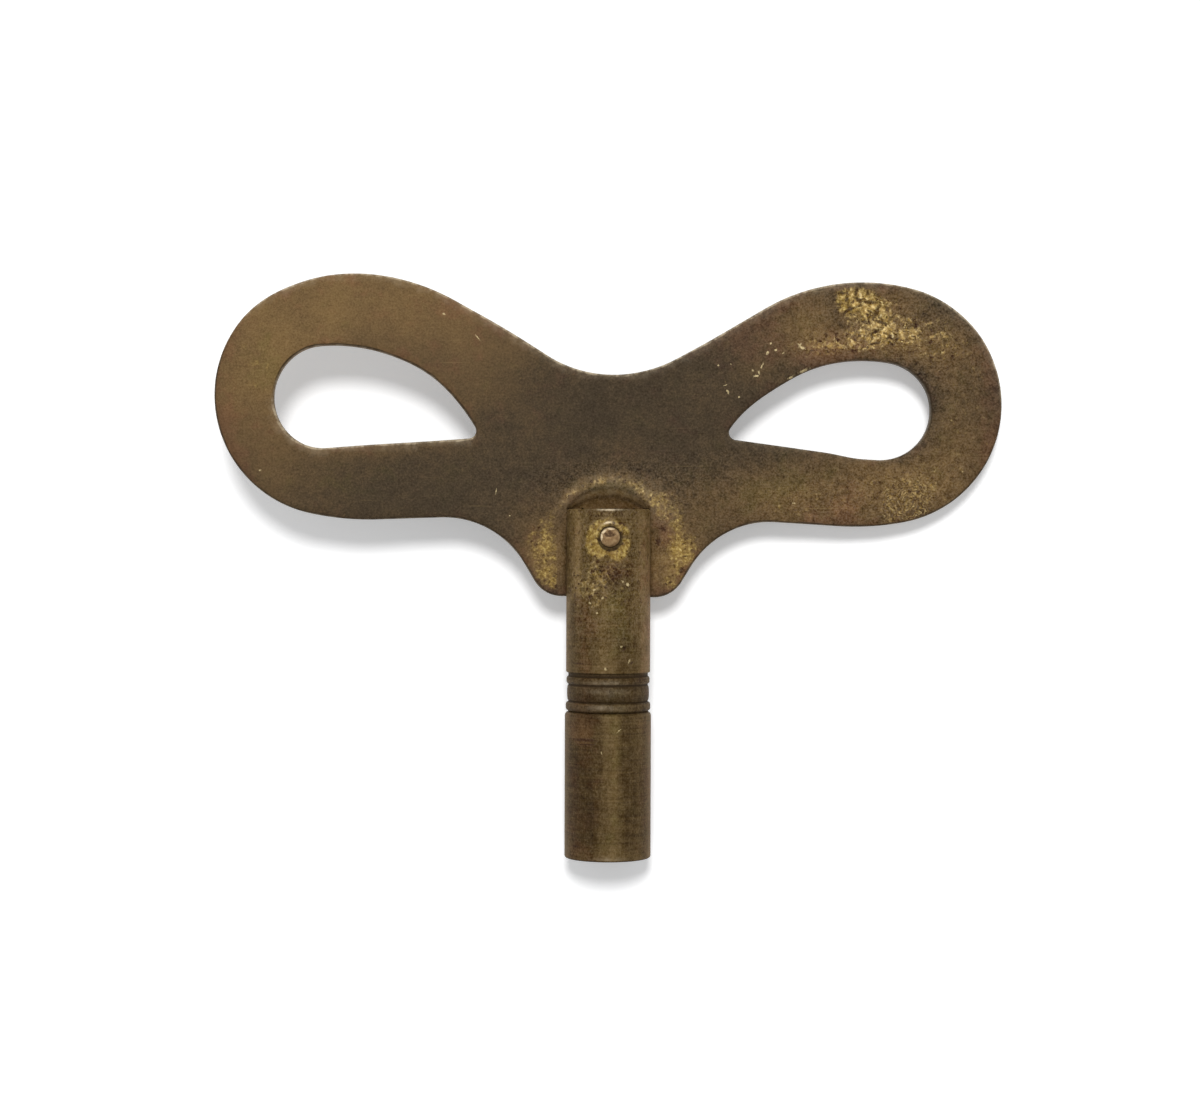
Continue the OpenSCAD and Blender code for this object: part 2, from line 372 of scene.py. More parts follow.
def from_spine(x, y):
    """Distance from the pocket's middle line, which ends at the centre of its rounded lip."""
    return np.where(y < LIP_Y, np.abs(x), np.hypot(x, y - LIP_Y))


def bar_height(x, y, r, dome, blend):
    """Height of the underside of a round bar along the shank with a domed end, or 0 beside it."""
    end = np.sqrt(np.maximum(dome ** 2 - np.maximum(y - NOSE_Y, 0) ** 2, 0))
    radius = smooth_min(r, end, blend)
    return -np.sqrt(np.maximum(radius ** 2 - x ** 2, 0))


def front_height(x, y):
    """Height of the sheet's front face, with the pocket pressed into it."""
    d = from_spine(x, y)
    hollow = np.clip((LIP_X - d) / LIP_W, 0, 1)
    lip = LIP_DROP * (np.sqrt(1 - hollow ** 2) - 1)
    beside = np.minimum(lip, bar_height(x, y, SHANK_R + SNUG_GAP, NOSE_R, WRAP_BLEND))
    from_arc = FLOOR_ARC_R - np.hypot(x, y - FLOOR_ARC_Y)
    from_lip = np.maximum(LIP_X - d, 0)
    slope = from_lip / (from_lip + np.maximum(-from_arc, 0) + TINY)
    arc_depth = FLOOR_ARC_R - (POCKET_END - FLOOR_ARC_Y)
    past_end = -SLOPE_DROP * slope ** SLOPE_POWER - FLOOR_DROP * np.clip(from_arc / arc_depth, 0, 1)
    step = fade(y, SHANK_LEN + STEP_FROM, SHANK_LEN + STEP_TO)
    return FRONT_Z + beside * (1 - step) + past_end * step


def rear_height(x, y):
    """Height of the sheet's rear face, with the pocket's bulge."""
    return np.minimum(FRONT_Z - SHEET_T, bar_height(x, y, BULGE_R, NOSE_R + SHEET_T, BULGE_BLEND))


def face_points(loops, rows):
    """Points over a face: rows round the pocket, given as distance and gap, and a wide grid elsewhere."""
    low, high = loops[0].min(axis=0), loops[0].max(axis=0)
    grid = np.array([(x + (j % 2) * FACE_GAP / 2, y)
                     for j, y in enumerate(np.arange(low[1], high[1], FACE_GAP * FACE_ROW))
                     for x in np.arange(low[0], high[0], FACE_GAP)])
    found = [grid[from_spine(*grid.T) > max(rows) + FACE_GAP / 2]]
    straight = LIP_Y - TONGUE_BOTTOM
    for d, gap in rows.items():
        length = 2 * straight + pi * d
        s = np.linspace(0, length, max(2, round(length / gap)) + 1)
        turn = np.clip((s - straight) / max(d, TINY), 0, pi)
        rise = np.minimum(s, length - s) - straight
        along = LIP_Y + np.where(rise < 0, rise, d * np.sin(turn))
        found.append(np.column_stack([-d * np.cos(turn), along]))
    across = np.arange(-LIP_X, LIP_X, END_GAP)
    found += [np.column_stack([across, np.full(len(across), SHANK_LEN + past)]) for past in END_ROWS]
    points = np.vstack(found)
    points = points[on_metal(loops, points)]
    gap = np.where(from_spine(*points.T) > max(rows), FACE_GAP, POCKET_GAP)
    return points[distance_to(points, np.vstack(loops)) > gap / 2]


def skin(loops, rows):
    """Triangles over the metal between the loops, whose points come first in the points returned."""
    points = np.vstack(loops + [face_points(loops, rows)])
    edges, start = [], 0
    for loop in loops:
        edges += [(start + i, start + (i + 1) % len(loop)) for i in range(len(loop))]
        start += len(loop)
    made = delaunay_2d_cdt([Vector(p) for p in points], edges, [], 0, TINY, True)
    source = [ids[0] for ids in made[3]]
    triangles = np.array([[source[v] for v in face] for face in made[2]])
    return points, triangles[on_metal(loops, points[triangles].mean(axis=1))]


def softened(z, triangles, weight, rounds):
    """Heights drawn towards their neighbours' mean, as pressing rounds a crease."""
    sides = np.vstack([triangles[:, pair] for pair in ([0, 1], [1, 2], [2, 0])])
    a, b = np.unique(np.sort(sides), axis=0).T
    count = np.bincount(a, minlength=len(z)) + np.bincount(b, minlength=len(z))
    for _ in range(rounds):
        total = np.bincount(a, z[b], len(z)) + np.bincount(b, z[a], len(z))
        z = z + weight * PULL * (total / count - z)
    return z


def ripple(points):
    """Slight waviness of the sheet, away from the pocket."""
    away = fade(from_spine(*points.T), *RIPPLE_FADE)
    return away * sum(height * clouds(points, size, seed, 2) for height, size, seed in RIPPLES)


def linked(name, data):
    """A new object of the data, in the scene."""
    obj = bpy.data.objects.new(name, data)
    bpy.context.scene.collection.objects.link(obj)
    return obj


def put_piece(name, points, faces):
    """A smooth-shaded object of the points, in millimetres, that rides on the key."""
    mesh = bpy.data.meshes.new(name)
    mesh.from_pydata((np.asarray(points) * MM).tolist(), [], [list(map(int, f)) for f in faces])
    mesh.validate()
    mesh.shade_smooth()
    mesh.set_sharp_from_angle(angle=radians(SHARP_ANGLE))
    obj = linked(name, mesh)
    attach(obj, "root")
    return obj


def paint(obj, **fields):
    """Stores values for each point of the mesh, for its material to read by name."""
    for name, values in fields.items():
        attribute = obj.data.attributes.new(name, "FLOAT", "POINT")
        attribute.data.foreach_set("value", np.asarray(values, np.float32))


def band(first, second):
    """Quads between two closed rows of point numbers."""
    return list(zip(first, np.roll(first, -1), np.roll(second, -1), second))


def without_loose(points, faces):
    """The points that the faces use, and the faces numbered to match."""
    used = np.zeros(len(points), bool)
    for face in faces:
        used[list(face)] = True
    fresh = np.cumsum(used) - 1
    return points[used], [tuple(fresh[list(face)]) for face in faces]


def pocket_rows(*runs):
    """Gap between points for each distance from the pocket's middle line, from runs of both."""
    return {d: gap for gap, distances in runs for d in distances}


FRONT_ROWS = pocket_rows(
    (0.16, np.arange(3.3, 5.35, 0.1)), (0.3, (5.5, 5.75, 6.1, 6.5, 7.0)), (0.28, np.arange(0.3, 3.2, 0.3)))
REAR_ROWS = pocket_rows(
    (0.16, np.arange(4.5, 6.4, 0.11)), (0.3, (6.6, 6.9, 7.3)), (0.28, np.arange(0.3, 4.5, 0.3)))
# Softening of each face: reach from the pocket's middle line, rounds, and the Y that it starts from
FRONT_SOFT = (6, 3, SHANK_LEN)
REAR_SOFT = (7.4, 10, 0)
# How far past that start it sets in
SOFT_FROM, SOFT_TO = 0.25, 0.6


def handle_sides(loops, wear):
    """The sheet's front and rear, each as plan points, triangles and heights."""
    sides = []
    front = front_height, FRONT_EDGE, FRONT_ROWS, FRONT_SOFT
    rear = rear_height, REAR_EDGE, REAR_ROWS, REAR_SOFT
    for height, edge, rows, (reach, rounds, start) in (front, rear):
        plan, triangles = skin([inset(loop, edge * w) for loop, w in zip(loops, wear)], rows)
        weight = fade(plan[:, 1], start + SOFT_FROM, start + SOFT_TO) * (from_spine(*plan.T) < reach)
        sides.append((plan, triangles, softened(height(*plan.T), triangles, weight, rounds)))
    return sides


def make_handle():
    """Pressed sheet: a front and a rear skin, joined round each loop by a wall with rounded edges."""
    loops = [inset(loop, SHY) for loop in (filed(wing_loop()), *map(filed, eye_loops()), bore_loop())]
    wear = [1 + EDGE_WEAR * clouds(loop, EDGE_WEAR_SIZE, 3) for loop in loops[:3]]
    wear.append(np.full(len(loops[3]), BORE_WEAR))
    sides = handle_sides(loops, wear)
    points = [np.column_stack([plan, z + ripple(plan)]) for plan, _, z in sides]
    count = len(points[0])
    faces = [*map(tuple, sides[0][1]), *map(tuple, sides[1][1][:, ::-1] + count)]
    total = count + len(points[1])
    start = 0
    # How bright each point is painted, as painted highlight and pale sheared walls, and how dark its edge is
    # painted as shade
    cut = [np.zeros(len(rows)) for rows in points]
    shade = [np.zeros(len(rows)) for rows in points]
    for hole, (loop, w) in enumerate(zip(loops, wear)):
        n = len(loop)
        outward = facing(loop)
        lit = outward @ EDGE_LIGHT
        bright = RIGHT_EYE_BRIGHT if hole == RIGHT_EYE else 1.0
        dark = np.where((hole == RIGHT_EYE) & (outward[:, 1] < FACING_DOWN), RIGHT_EYE_DARK, 1.0)
        # Painted highlight on the rim where the edge faces the light
        cut[0][start:start + n] = RIM_BRIGHT * bright * fade(lit, *RIM_FACING)
        rim_numbers = np.arange(start, start + n)
        rows = [rim_numbers]
        for side, edge, arc, sign in ((0, FRONT_EDGE, EDGE_ARC, -1), (1, REAR_EDGE, EDGE_ARC[::-1], 1)):
            rim = points[side][start:start + n]
            for a in arc:
                ring = inset(loop, edge * w * (1 - sin(a)))
                points.append(np.column_stack([ring, rim[:, 2] + sign * edge * w * (1 - cos(a))]))
                rows.append(np.arange(total, total + n))
                # Sheared walls are pale bare metal, partly a painted reflection; edges facing the light get
                # a painted highlight, and edges facing away get painted shade
                sheared = sin(a) ** 4
                sheen_and_rub = bright * fade(lit, *SHEEN_FACING) * (side == 0) * sin(a) ** 0.8
                dulled = 1 - WALL_DULLED * sin(a) ** 12
                cut.append(dulled * np.maximum(SHEAR_BRIGHT * sheared * bright ** 0.5, sheen_and_rub))
                shade.append(dark * fade(lit, *DARK_FACING) * (side == 0) * (1 - sheared ** 2))
                total += n
        rows.append(rim_numbers + count)
        for first, second in zip(rows, rows[1:]):
            faces += band(first, second)
        start += n
    points = np.vstack(points)
    obj = put_piece("handle_sheet", points, faces)
    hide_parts("wing_handle")
    finish_handle(obj, points, loops, np.concatenate(cut), np.concatenate(shade))
    return obj


# Areas of the handle's patina, each as its centre about the rivet, half width and height, and strength.
# Lighter and darker areas
LIGHT_AREAS = (
    (-33, 15, 8, 9, 0.46), (-21, 22.5, 11, 6, 0.45), (-12, 17, 6, 6, 0.2), (-30, 5, 5, 4, 0.08),
    (-23, 8.2, 6, 0.9, 0.18), (-36, 12, 1.5, 6, 0.06), (-33.3, 21.3, 2, 2, 0.12),
    (-25.5, 24.4, 4, 1.2, 0.08), (-22.7, 6.3, 3, 1.2, 0.06), (26, 20.5, 9, 5, 0.2),
    (31, 21.5, 2.4, 2, -0.08), (18.5, 20.8, 3, 2.4, 0.26), (27.6, 22.6, 2.5, 2, 0.1),
    (21, 18.2, 4, 1.6, 0.14), (29.2, 18.2, 1.8, 1.6, 0.14), (27, 18.2, 1.8, 1.3, 0.1),
    (33, 18.3, 2, 1.8, 0.08), (14, 18, 5, 4, 0.12), (33, 10, 6, 9, 0.22), (26, 4.5, 10, 4.5, 0.3),
    (24.2, 6.4, 4, 1.3, 0.09), (22.6, 2.4, 2, 1.2, 0.08), (34.6, 6.8, 1.5, 1.5, -0.07),
    (30.2, 2.2, 1.5, 1, -0.07), (15, 3, 6, 3, 0.28), (14.2, 2.6, 1.8, 1.3, -0.07),
    (8.7, 4.5, 1.8, 6, 0.07), (0, 3, 8, 5, 0.12), (-6.2, -2, 2.6, 4.2, 0.36),
    (6.4, -2.8, 3, 4, 0.45),
)
# Areas worn to flecks of brass
WORN_AREAS = (
    (-6.8, -2.8, 2.8, 4.6, 0.5), (7, -2.4, 3.2, 4.2, 0.55), (23.4, 22.7, 2.4, 1.9, 0.9),
    (25.2, 20.9, 1.8, 1.8, 0.5), (27.6, 19.6, 3.6, 1.6, 0.65), (27.8, 22.4, 2.6, 1.8, 0.4),
    (21.5, 18.4, 5, 1.5, 0.85), (31.8, 18.3, 3.6, 2.6, 0.5), (34, 10, 5, 8, 0.42),
    (13.8, 15.8, 1.3, 1, 0.35), (28, 4.6, 5, 3, 0.5), (18, 3.4, 7, 3, 0.5),
)
# Areas rubbed to plain yellow brass
BRASSY_AREAS = (
    (-6.1, -1, 1.6, 2.8, 0.62), (-5.6, -4, 1.2, 1.4, 0.48), (7, -1.3, 1.5, 2, 0.85),
    (6, -4.2, 1.4, 1.2, 0.43), (6.2, 2.6, 1.3, 1.6, 0.32), (23, 22.8, 1.9, 1.5, 1.45),
    (25.2, 21.8, 1.4, 1.2, 0.9), (26.4, 20.9, 0.8, 0.7, 0.5), (26.6, 19.2, 1.8, 1, 0.55),
    (21.5, 18.2, 4, 1.2, 0.32), (29, 4.2, 2.4, 1.6, 0.16), (-32.8, 15.6, 2.6, 2.4, 0.25),
)
# Areas where the bare metal is crackled
CRACKLED_AREAS = (
    (23.6, 22.3, 3.4, 2.8, 1), (27.5, 20.4, 4.5, 2.8, 1), (29, 4.6, 4, 2.6, 1),
    (20, 3.6, 6, 3, 0.6), (21.5, 18.4, 5, 1.5, 0.6), (34, 10, 4, 8, 0.4), (-7, -2.4, 3, 4, 0.15),
    (7.2, -1.8, 3, 4, 0.25),
)
# Areas where the patina is blotchy
BLOTCHY_AREAS = (
    (25, 20, 14, 7, 0.8), (33, 12, 7, 12, 0.4), (22, 4, 14, 5, 0.9), (0, -1, 10, 7, 0.7),
    (0.5, 5.4, 7, 1.8, 0.5), (-28, 14, 14, 14, 0.2),
)
# Areas that lean to russet, or to olive where the strength is negative
HUE_AREAS = (
    (-36, 10, 2.5, 10, 0.6), (-33, 16, 3.5, 3.5, -0.9), (-24, 5, 8, 3, -0.4), (-15, 20, 5, 4, 0.4),
    (12, 20.5, 8, 3.5, 0.7), (18.5, 20.5, 2.5, 2, -0.8), (20.5, 17.8, 6, 1.6, 0.6),
    (16.5, 4.4, 5, 3, -0.9), (21.5, 2.2, 3.5, 2.2, 1), (29, 4.8, 3.5, 2.5, -0.4),
    (34, 10, 3.5, 8, -0.3), (31, 21.8, 2, 2, -0.6), (36.8, 11, 1.6, 8, 0.9),
    (5.2, 0.6, 1, 1.6, 0.9), (0, 4.8, 4, 0.6, -0.8),
)
# Bright nicks, each as its place about the rivet, half length and half width, and turn in degrees
HANDLE_NICKS = (
    (-15.7, 21.1, 0.15, 0.13, 0), (-12.5, 18.9, 0.4, 0.06, -50), (-33, 6.2, 0.16, 0.08, 20),
    (-10.7, 4.3, 0.3, 0.05, 80), (-9.4, 2, 0.08, 0.07, 0), (15.4, 18.5, 0.13, 0.13, 0),
    (15.9, 17.9, 0.16, 0.14, 40), (15.1, 17.6, 0.2, 0.13, 70), (16.6, 17.6, 0.12, 0.06, 20),
    (14, 15.4, 0.3, 0.11, 5), (14.3, 15.7, 0.1, 0.26, 10), (14.6, 16.4, 0.34, 0.08, 65),
    (13.7, 15.9, 0.12, 0.1, 0), (18.2, 18.35, 0.22, 0.25, 10), (18.45, 18.1, 0.32, 0.16, -18),
    (10.4, 16.4, 0.09, 0.08, 0), (11.6, 16.5, 0.12, 0.06, -40), (11.3, 13.9, 0.32, 0.1, 110),
    (11.1, 14.5, 0.24, 0.05, 20), (12.4, 13.4, 0.12, 0.1, 0), (18.6, 15.9, 0.55, 0.14, 24),
    (17.4, 15.3, 0.35, 0.12, 28), (27.1, 19.3, 0.13, 0.24, 0), (24, 23.2, 0.14, 0.24, 0),
    (25.95, 21.25, 0.22, 0.14, 60), (17.7, 3.3, 0.18, 0.06, 0),
)
# Dark pits, in the same form
HANDLE_PITS = (
    (-6.13, -1.76, 0.16, 0.13, 30), (-5.9, -2.28, 0.17, 0.12, -40), (-5.2, -3.8, 0.14, 0.12, 0),
    (-4.95, -4.7, 0.2, 0.12, 60), (-7.3, -0.4, 0.13, 0.11, 0), (-6.6, 0.9, 0.12, 0.12, 0),
    (5.9, 2.2, 0.14, 0.11, 0), (6.96, -3.14, 0.34, 0.26, 40), (5.9, -4.3, 0.2, 0.12, 20),
    (5.5, -4.45, 0.14, 0.1, -30), (7.9, -0.6, 0.14, 0.12, 0), (4.75, -0.4, 0.3, 0.5, 0),
    (5.2, 0.8, 0.34, 0.24, -30), (4.8, 3.4, 0.13, 0.1, 0), (4, 3.6, 0.12, 0.16, 0),
    (1.57, 5.4, 0.13, 0.1, 0),
)
# Dark cracks across the bare patch, in the same form
HANDLE_CRACKS = (
    (23.57, 23.5, 0.6, 0.22, 80), (24.81, 22.5, 1.1, 0.2, -4), (23.78, 22.7, 0.6, 0.24, -35),
    (25.52, 21.54, 1, 0.28, 66), (25.88, 20.61, 0.95, 0.2, -18), (25.48, 19.68, 0.85, 0.18, 25),
    (22.68, 22.75, 0.36, 0.24, 60), (22.23, 23.35, 0.28, 0.22, 0), (23.12, 21.85, 0.56, 0.16, 20),
    (22.6, 21.55, 0.4, 0.16, 45), (24.36, 20.66, 0.4, 0.18, 0), (24.9, 21.6, 0.36, 0.16, -30),
    (27.5, 19, 0.24, 0.18, 0), (25.34, 18.55, 0.7, 0.14, 12), (26.9, 18.6, 0.45, 0.15, -40),
)
# Middle and reach of the fine whorl of lines near the right wing's lower edge
WHORL = (28.6, 3.2, 3.6)


def area_field(x, y, areas):
    """Soft sum of oval areas at points about the rivet."""
    total = np.zeros(len(x))
    for cx, cy, half_w, half_h, strength in areas:
        total += strength * np.exp(-((x - cx) / half_w) ** 2 - ((y - cy) / half_h) ** 2)
    return total


def finish_handle(obj, points, loops, cut, shade):
    """Paints the handle's fields: patina, wear, the halo round the pocket, painted light and shade in the
    pocket and round the eyes, and the edges.
    """
    x, y, z = points[:, 0], points[:, 1] - RIVET_Y, points[:, 2]
    front = z > FRONT_Z - SHEET_T * 0.75
    d = from_spine(x, points[:, 1])
    halo_r = 5.5 + 0.35 * fade(x, 3.5, 6)
    halo_w = 0.45 + 0.35 * fade(x, -4, 0) + 0.25 * fade(x, 2, 6)
    halo = np.exp(-((np.hypot(x, y) - halo_r) / halo_w) ** 2) * fade(y, np.where(x < 0, 1.5, -1), 4.0)
    on_lip = fade(d, LIP_X, LIP_X - 0.35)
    past_shank = fade(points[:, 1], SHANK_LEN - 0.1, SHANK_LEN + 0.1)
    in_end = on_lip * past_shank
    from_arc = np.hypot(x, points[:, 1] - FLOOR_ARC_Y) - FLOOR_ARC_R
    on_slope = fade(from_arc, 0, 0.5)
    # Painted light lifts the slope and floor past the shank's end against their shading, and a painted
    # shadow darkens the foot of the slope
    end_tone = 0.3 + 0.2 * on_slope - 0.14 * np.exp(-(from_arc / 0.2) ** 2)
    # Painted light lifts the lip beside the shank against its shading
    lip_tone = np.where(x < 0, 0.10, 0.12)
    from_edge = distance_to(points, np.vstack(loops[:3]))
    edge = np.exp(-from_edge / 0.8)
    lobe_edge = np.exp(-from_edge / 0.45) * fade(y, -1.5, -3.5)
    on_arm = fade(y, 12, 16) * (x > 16)
    clear = 1 - on_arm * (1 - fade(from_edge, 0.3, 1.1))
    clear = clear * (1 - fade(y, 19.6, 20.4) * (x > 16) * fade(x + 0.35 * y, 29.9, 29.3))
    wear = np.minimum(0.75 * halo + area_field(x, y, WORN_AREAS) * clear, 1.2) * (1 - on_lip)
    brassy = area_field(x, y, BRASSY_AREAS) * clear + halo * (0.2 + 0.25 * fade(x, 0, 4))
    tone = 0.222 + area_field(x, y, LIGHT_AREAS) + 0.15 * wear + 0.16 * halo - 0.24 * lobe_edge
    # The tone is lifted round the left eye as painted light against the shading of its edges, and darkened
    # round the right eye's outer end
    round_left, round_right = (np.exp(-distance_to(points, loop) / 1.1) for loop in loops[1:3])
    round_eyes = 0.13 * round_left * fade(x, -25, -18) - 0.2 * round_right * fade(x, 24, 29)
    tone = tone + on_lip * (1 - past_shank) * lip_tone + in_end * end_tone + round_eyes
    paint(
        obj,
        tone=tone,
        wear=np.where(front | (d < 5.2), wear, 0.15),
        brassy=np.where(front, brassy * (1 - on_lip), 0),
        crackle=np.minimum(area_field(x, y, CRACKLED_AREAS), 1),
        hue=area_field(x, y, HUE_AREAS) + 0.5 * edge + 0.8 * lobe_edge,
        blotch=np.clip(area_field(x, y, BLOTCHY_AREAS), 0, 1),
        # Pale rub on the halo, and pale painted light on the slope past the shank's end
        cut=np.maximum(cut, 0.08 * halo + 0.16 * in_end * on_slope),
        # Darker deep in the pocket, and painted shade on edges that face away from the light
        grime=np.maximum(0.6 * fade(z, -2.0, -3.0) * (d < LIP_X), shade))


# Mesh of the shank: points round it, half the width of the block that each end of the hole replaces,
# and shares of the way in from the block's border to the hole
SHANK_SIDES = 160
HALF_BLOCK = 10
PATCH_STEPS = (0.2, 0.4, 0.55, 0.7, 0.8, 0.9, 1)
SINK_LIP = 0.06
SINK_LIP_DROP = 0.03
DRILL_TIP = 1.29


def shank_hole(points, faces, middle):
    """Points and faces with a round hole for the rivet, in place of a block at the front and at the back."""
    ends = []
    span = np.arange(-HALF_BLOCK, HALF_BLOCK)
    side = np.full(len(span), HALF_BLOCK)
    up, across = np.concatenate([-side, span, side, -span]), np.concatenate([span, side, -span, -side])
    for centre, sign in ((0, 1), (SHANK_SIDES // 2, -1)):
        border = (middle + up) * SHANK_SIDES + (centre + across) % SHANK_SIDES
        plan = points[border][:, :2] - (0, RIVET_Y)
        around = plan / np.linalg.norm(plan, axis=1)[:, None]
        sink = HOLE_R + SINK_W
        outer = sink + SINK_LIP if sign > 0 else HOLE_R
        steps = [(plan * (1 - t) + around * outer * t, 0) for t in PATCH_STEPS]
        if sign > 0:
            steps += [(around * sink, SINK_LIP_DROP), (around * HOLE_R, SINK_DEPTH)]
        previous = border
        for spot, drop in steps:
            z = sign * (np.sqrt(SHANK_R ** 2 - spot[:, 0] ** 2) - drop)
            fresh = np.arange(len(points), len(points) + len(spot))
            points = np.vstack([points, np.column_stack([spot[:, 0], spot[:, 1] + RIVET_Y, z])])
            faces += band(previous, fresh)
            previous = fresh
        ends.append(previous)
    front, back = ends
    opposite = [np.argmin(np.linalg.norm(points[back][:, :2] - points[i][:2], axis=1)) for i in front]
    faces += band(front, back[opposite])
    return without_loose(points, faces)


def make_shank():
    """Turned shank: rows of points round the Y axis, with the rivet's hole across them."""
    rows = shank_rows(2 * pi * SHANK_R / SHANK_SIDES)
    turn = 2 * pi * np.arange(SHANK_SIDES) / SHANK_SIDES
    ring = np.column_stack([np.sin(turn), np.cos(turn)])
    square = ring / np.abs(ring).max(axis=1)[:, None]
    points = []
    for y, r, *kind in rows:
        section = (square if "square" in kind else ring) * r
        points.append(np.column_stack([section[:, 0], np.full(SHANK_SIDES, y), section[:, 1]]))
    heights = np.array([row[0] for row in rows])
    plain = [i for i, row in enumerate(rows) if "shank" in row[2:]]
    middle = plain[int(np.argmin(np.abs(heights[plain] - RIVET_Y)))]
    numbers = [np.arange(SHANK_SIDES) + i * SHANK_SIDES for i in range(len(rows))]
    k = np.arange(SHANK_SIDES) + 0.5
    from_hole = np.minimum.reduce([k, SHANK_SIDES - k, np.abs(k - SHANK_SIDES / 2)])
    faces = []
    for i in range(len(rows) - 1):
        in_block = (abs(i + 0.5 - middle) < HALF_BLOCK) & (from_hole < HALF_BLOCK)
        faces += [quad for quad, cut in zip(band(numbers[i], numbers[i + 1]), in_block) if not cut]
    points = np.vstack([*points, (0, PILOT_DEPTH + DRILL_TIP, 0), (0, SHANK_LEN, 0)])
    ends = (len(points) - 2, numbers[0][::-1]), (len(points) - 1, numbers[-1])
    faces += [(p, q, tip) for tip, row in ends for p, q in zip(row, np.roll(row, -1))]
    points, faces = shank_hole(points, faces, middle)
    obj = put_piece("shank_rod", points, faces)
    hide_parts("shank")
    finish_shank(obj, points)
    return obj


# Turned rings: beads are (bottom, top, radius at the bottom, crown radius), grooves lie between them
RINGS_FROM = 13.90
RING_BEADS = ((14.00, 14.84, 3.84, 4.03), (14.88, 16.42, 3.72, 3.90), (16.54, 17.26, 3.80, 3.96))
RINGS_TO = 17.60
GROOVE_R = 3.78
SQUARE_HALF = 2.25
SQUARE_DEPTH = 12.0
SQUARE_LEAD = 0.25
PILOT_R = 2.15
PILOT_DEPTH = 14.0
# Rounding of the mouth's edge, the shoulder below the rings and the upper end, and the steps of their arcs
MOUTH_EDGE, SHOULDER_EDGE, TOP_EDGE = 0.22, 0.4, 0.24
CORNER_ARC = np.radians(np.arange(0, 91, 15))
# Spacing of the shank's rows, and the radii of its rows on the end faces
BARREL_GAP = 0.3
SQUARE_ROWS = 24
BEAD_ROWS = 13
BEAD_POWER = 2.6
END_FACE_R = 3.2
UPPER_FACE_R = (2.4, 1.2)
# Heights of the steep sides of grooves and beads, and the edge above the rings as (height, radius)
GROOVE_SIDE, BEAD_SIDE = 0.02, 0.05
RING_EDGE = ((0, GROOVE_R), (0.01, SHANK_R - 0.1), (0.08, SHANK_R))
# How far plain rows stay from the socket's bottom, the shoulder, the rings and the upper edge
SOCKET_CLEAR, SHOULDER_CLEAR, RING_CLEAR, TOP_CLEAR = 0.1, 0.1, 0.2, 0.05


def upper_corner(y, r, size):
    """Rows of a corner rounded by that size, up to the height y."""
    return [(y - size * (1 - sin(a)), r - size * (1 - cos(a))) for a in CORNER_ARC]


def shank_rows(row_gap):
    """Rows up the shank, from the drilling's bottom to the upper end: (y, radius) or (y, size, kind)."""
    rows = [(PILOT_DEPTH, PILOT_R), (SQUARE_DEPTH, PILOT_R)]
    socket = [SQUARE_DEPTH, *np.linspace(SQUARE_DEPTH - SOCKET_CLEAR, SQUARE_LEAD, SQUARE_ROWS)]
    rows += [(y, SQUARE_HALF, "square") for y in socket]
    rows += [(0.0, SQUARE_HALF + SQUARE_LEAD, "square")]
    rows += [(0.0, r) for r in (END_FACE_R, BARREL_R - MOUTH_EDGE)]
    rows += [(MOUTH_EDGE * (1 - cos(a)), BARREL_R - MOUTH_EDGE * (1 - sin(a))) for a in CORNER_ARC[1:]]
    barrel = np.arange(MOUTH_EDGE + BARREL_GAP, RINGS_FROM - SHOULDER_EDGE - SHOULDER_CLEAR, BARREL_GAP)
    rows += [(y, BARREL_R) for y in barrel]
    rows += upper_corner(RINGS_FROM, BARREL_R, SHOULDER_EDGE)
    rows += [(RINGS_FROM + GROOVE_SIDE, GROOVE_R)]
    t = np.linspace(0, 1, BEAD_ROWS)
    swell = np.sqrt(np.maximum(1 - np.abs(2 * t - 1) ** BEAD_POWER, 0))
    for low, high, foot, crown in RING_BEADS:
        base = foot + (GROOVE_R - foot) * t
        rows += [(low + (high - low) * s, b + (crown - b) * w) for s, b, w in zip(t, base, swell)]
        rows += [(high + BEAD_SIDE, GROOVE_R)]
    rows += [(RINGS_TO + past, r) for past, r in RING_EDGE]
    below = int((RIVET_Y - RINGS_TO - RING_CLEAR) / row_gap)
    above = int((SHANK_LEN - TOP_EDGE - TOP_CLEAR - RIVET_Y) / row_gap)
    rows += [(RIVET_Y + i * row_gap, SHANK_R, "shank") for i in range(-below, above + 1)]
    rows += upper_corner(SHANK_LEN, SHANK_R, TOP_EDGE)
    return rows + [(SHANK_LEN, r) for r in UPPER_FACE_R]


# Bright nicks in the shank, in the form of the handle's
SHANK_NICKS = (
    (1.2, -4.15, 0.16, 0.1, -40), (1.65, -4.45, 0.14, 0.22, 20), (-1.5, -4.95, 0.2, 0.09, 10),
    (-0.7, -5.7, 0.16, 0.1, 60), (-1.9, -6.2, 0.14, 0.12, 0), (-1.2, -7.1, 0.12, 0.1, 0),
    (1.1, -10.25, 0.14, 0.09, 30), (-0.4, -12.35, 0.13, 0.16, 0), (1.85, -11.6, 0.24, 0.09, 60),
    (0.9, -18.1, 0.28, 0.06, 40), (-0.75, -20.2, 0.05, 0.16, 10),
)
# Dark pits in the shank, in the same form
SHANK_PITS = (
    (-2.3, -19.02, 1.4, 0.18, 0), (-2.1, -19.45, 0.9, 0.08, 2), (-2.9, -11.9, 0.6, 0.07, 0),
    (1.7, -4.7, 0.2, 0.08, 0), (1.3, -10.55, 0.26, 0.1, 30), (2.05, -11.8, 0.24, 0.1, 50),
    (-1.3, -5.25, 0.26, 0.08, 10),
)


def near(value, middle, half):
    """1 at the middle, falling away either side of it."""
    return np.exp(-((value - middle) / half) ** 2)


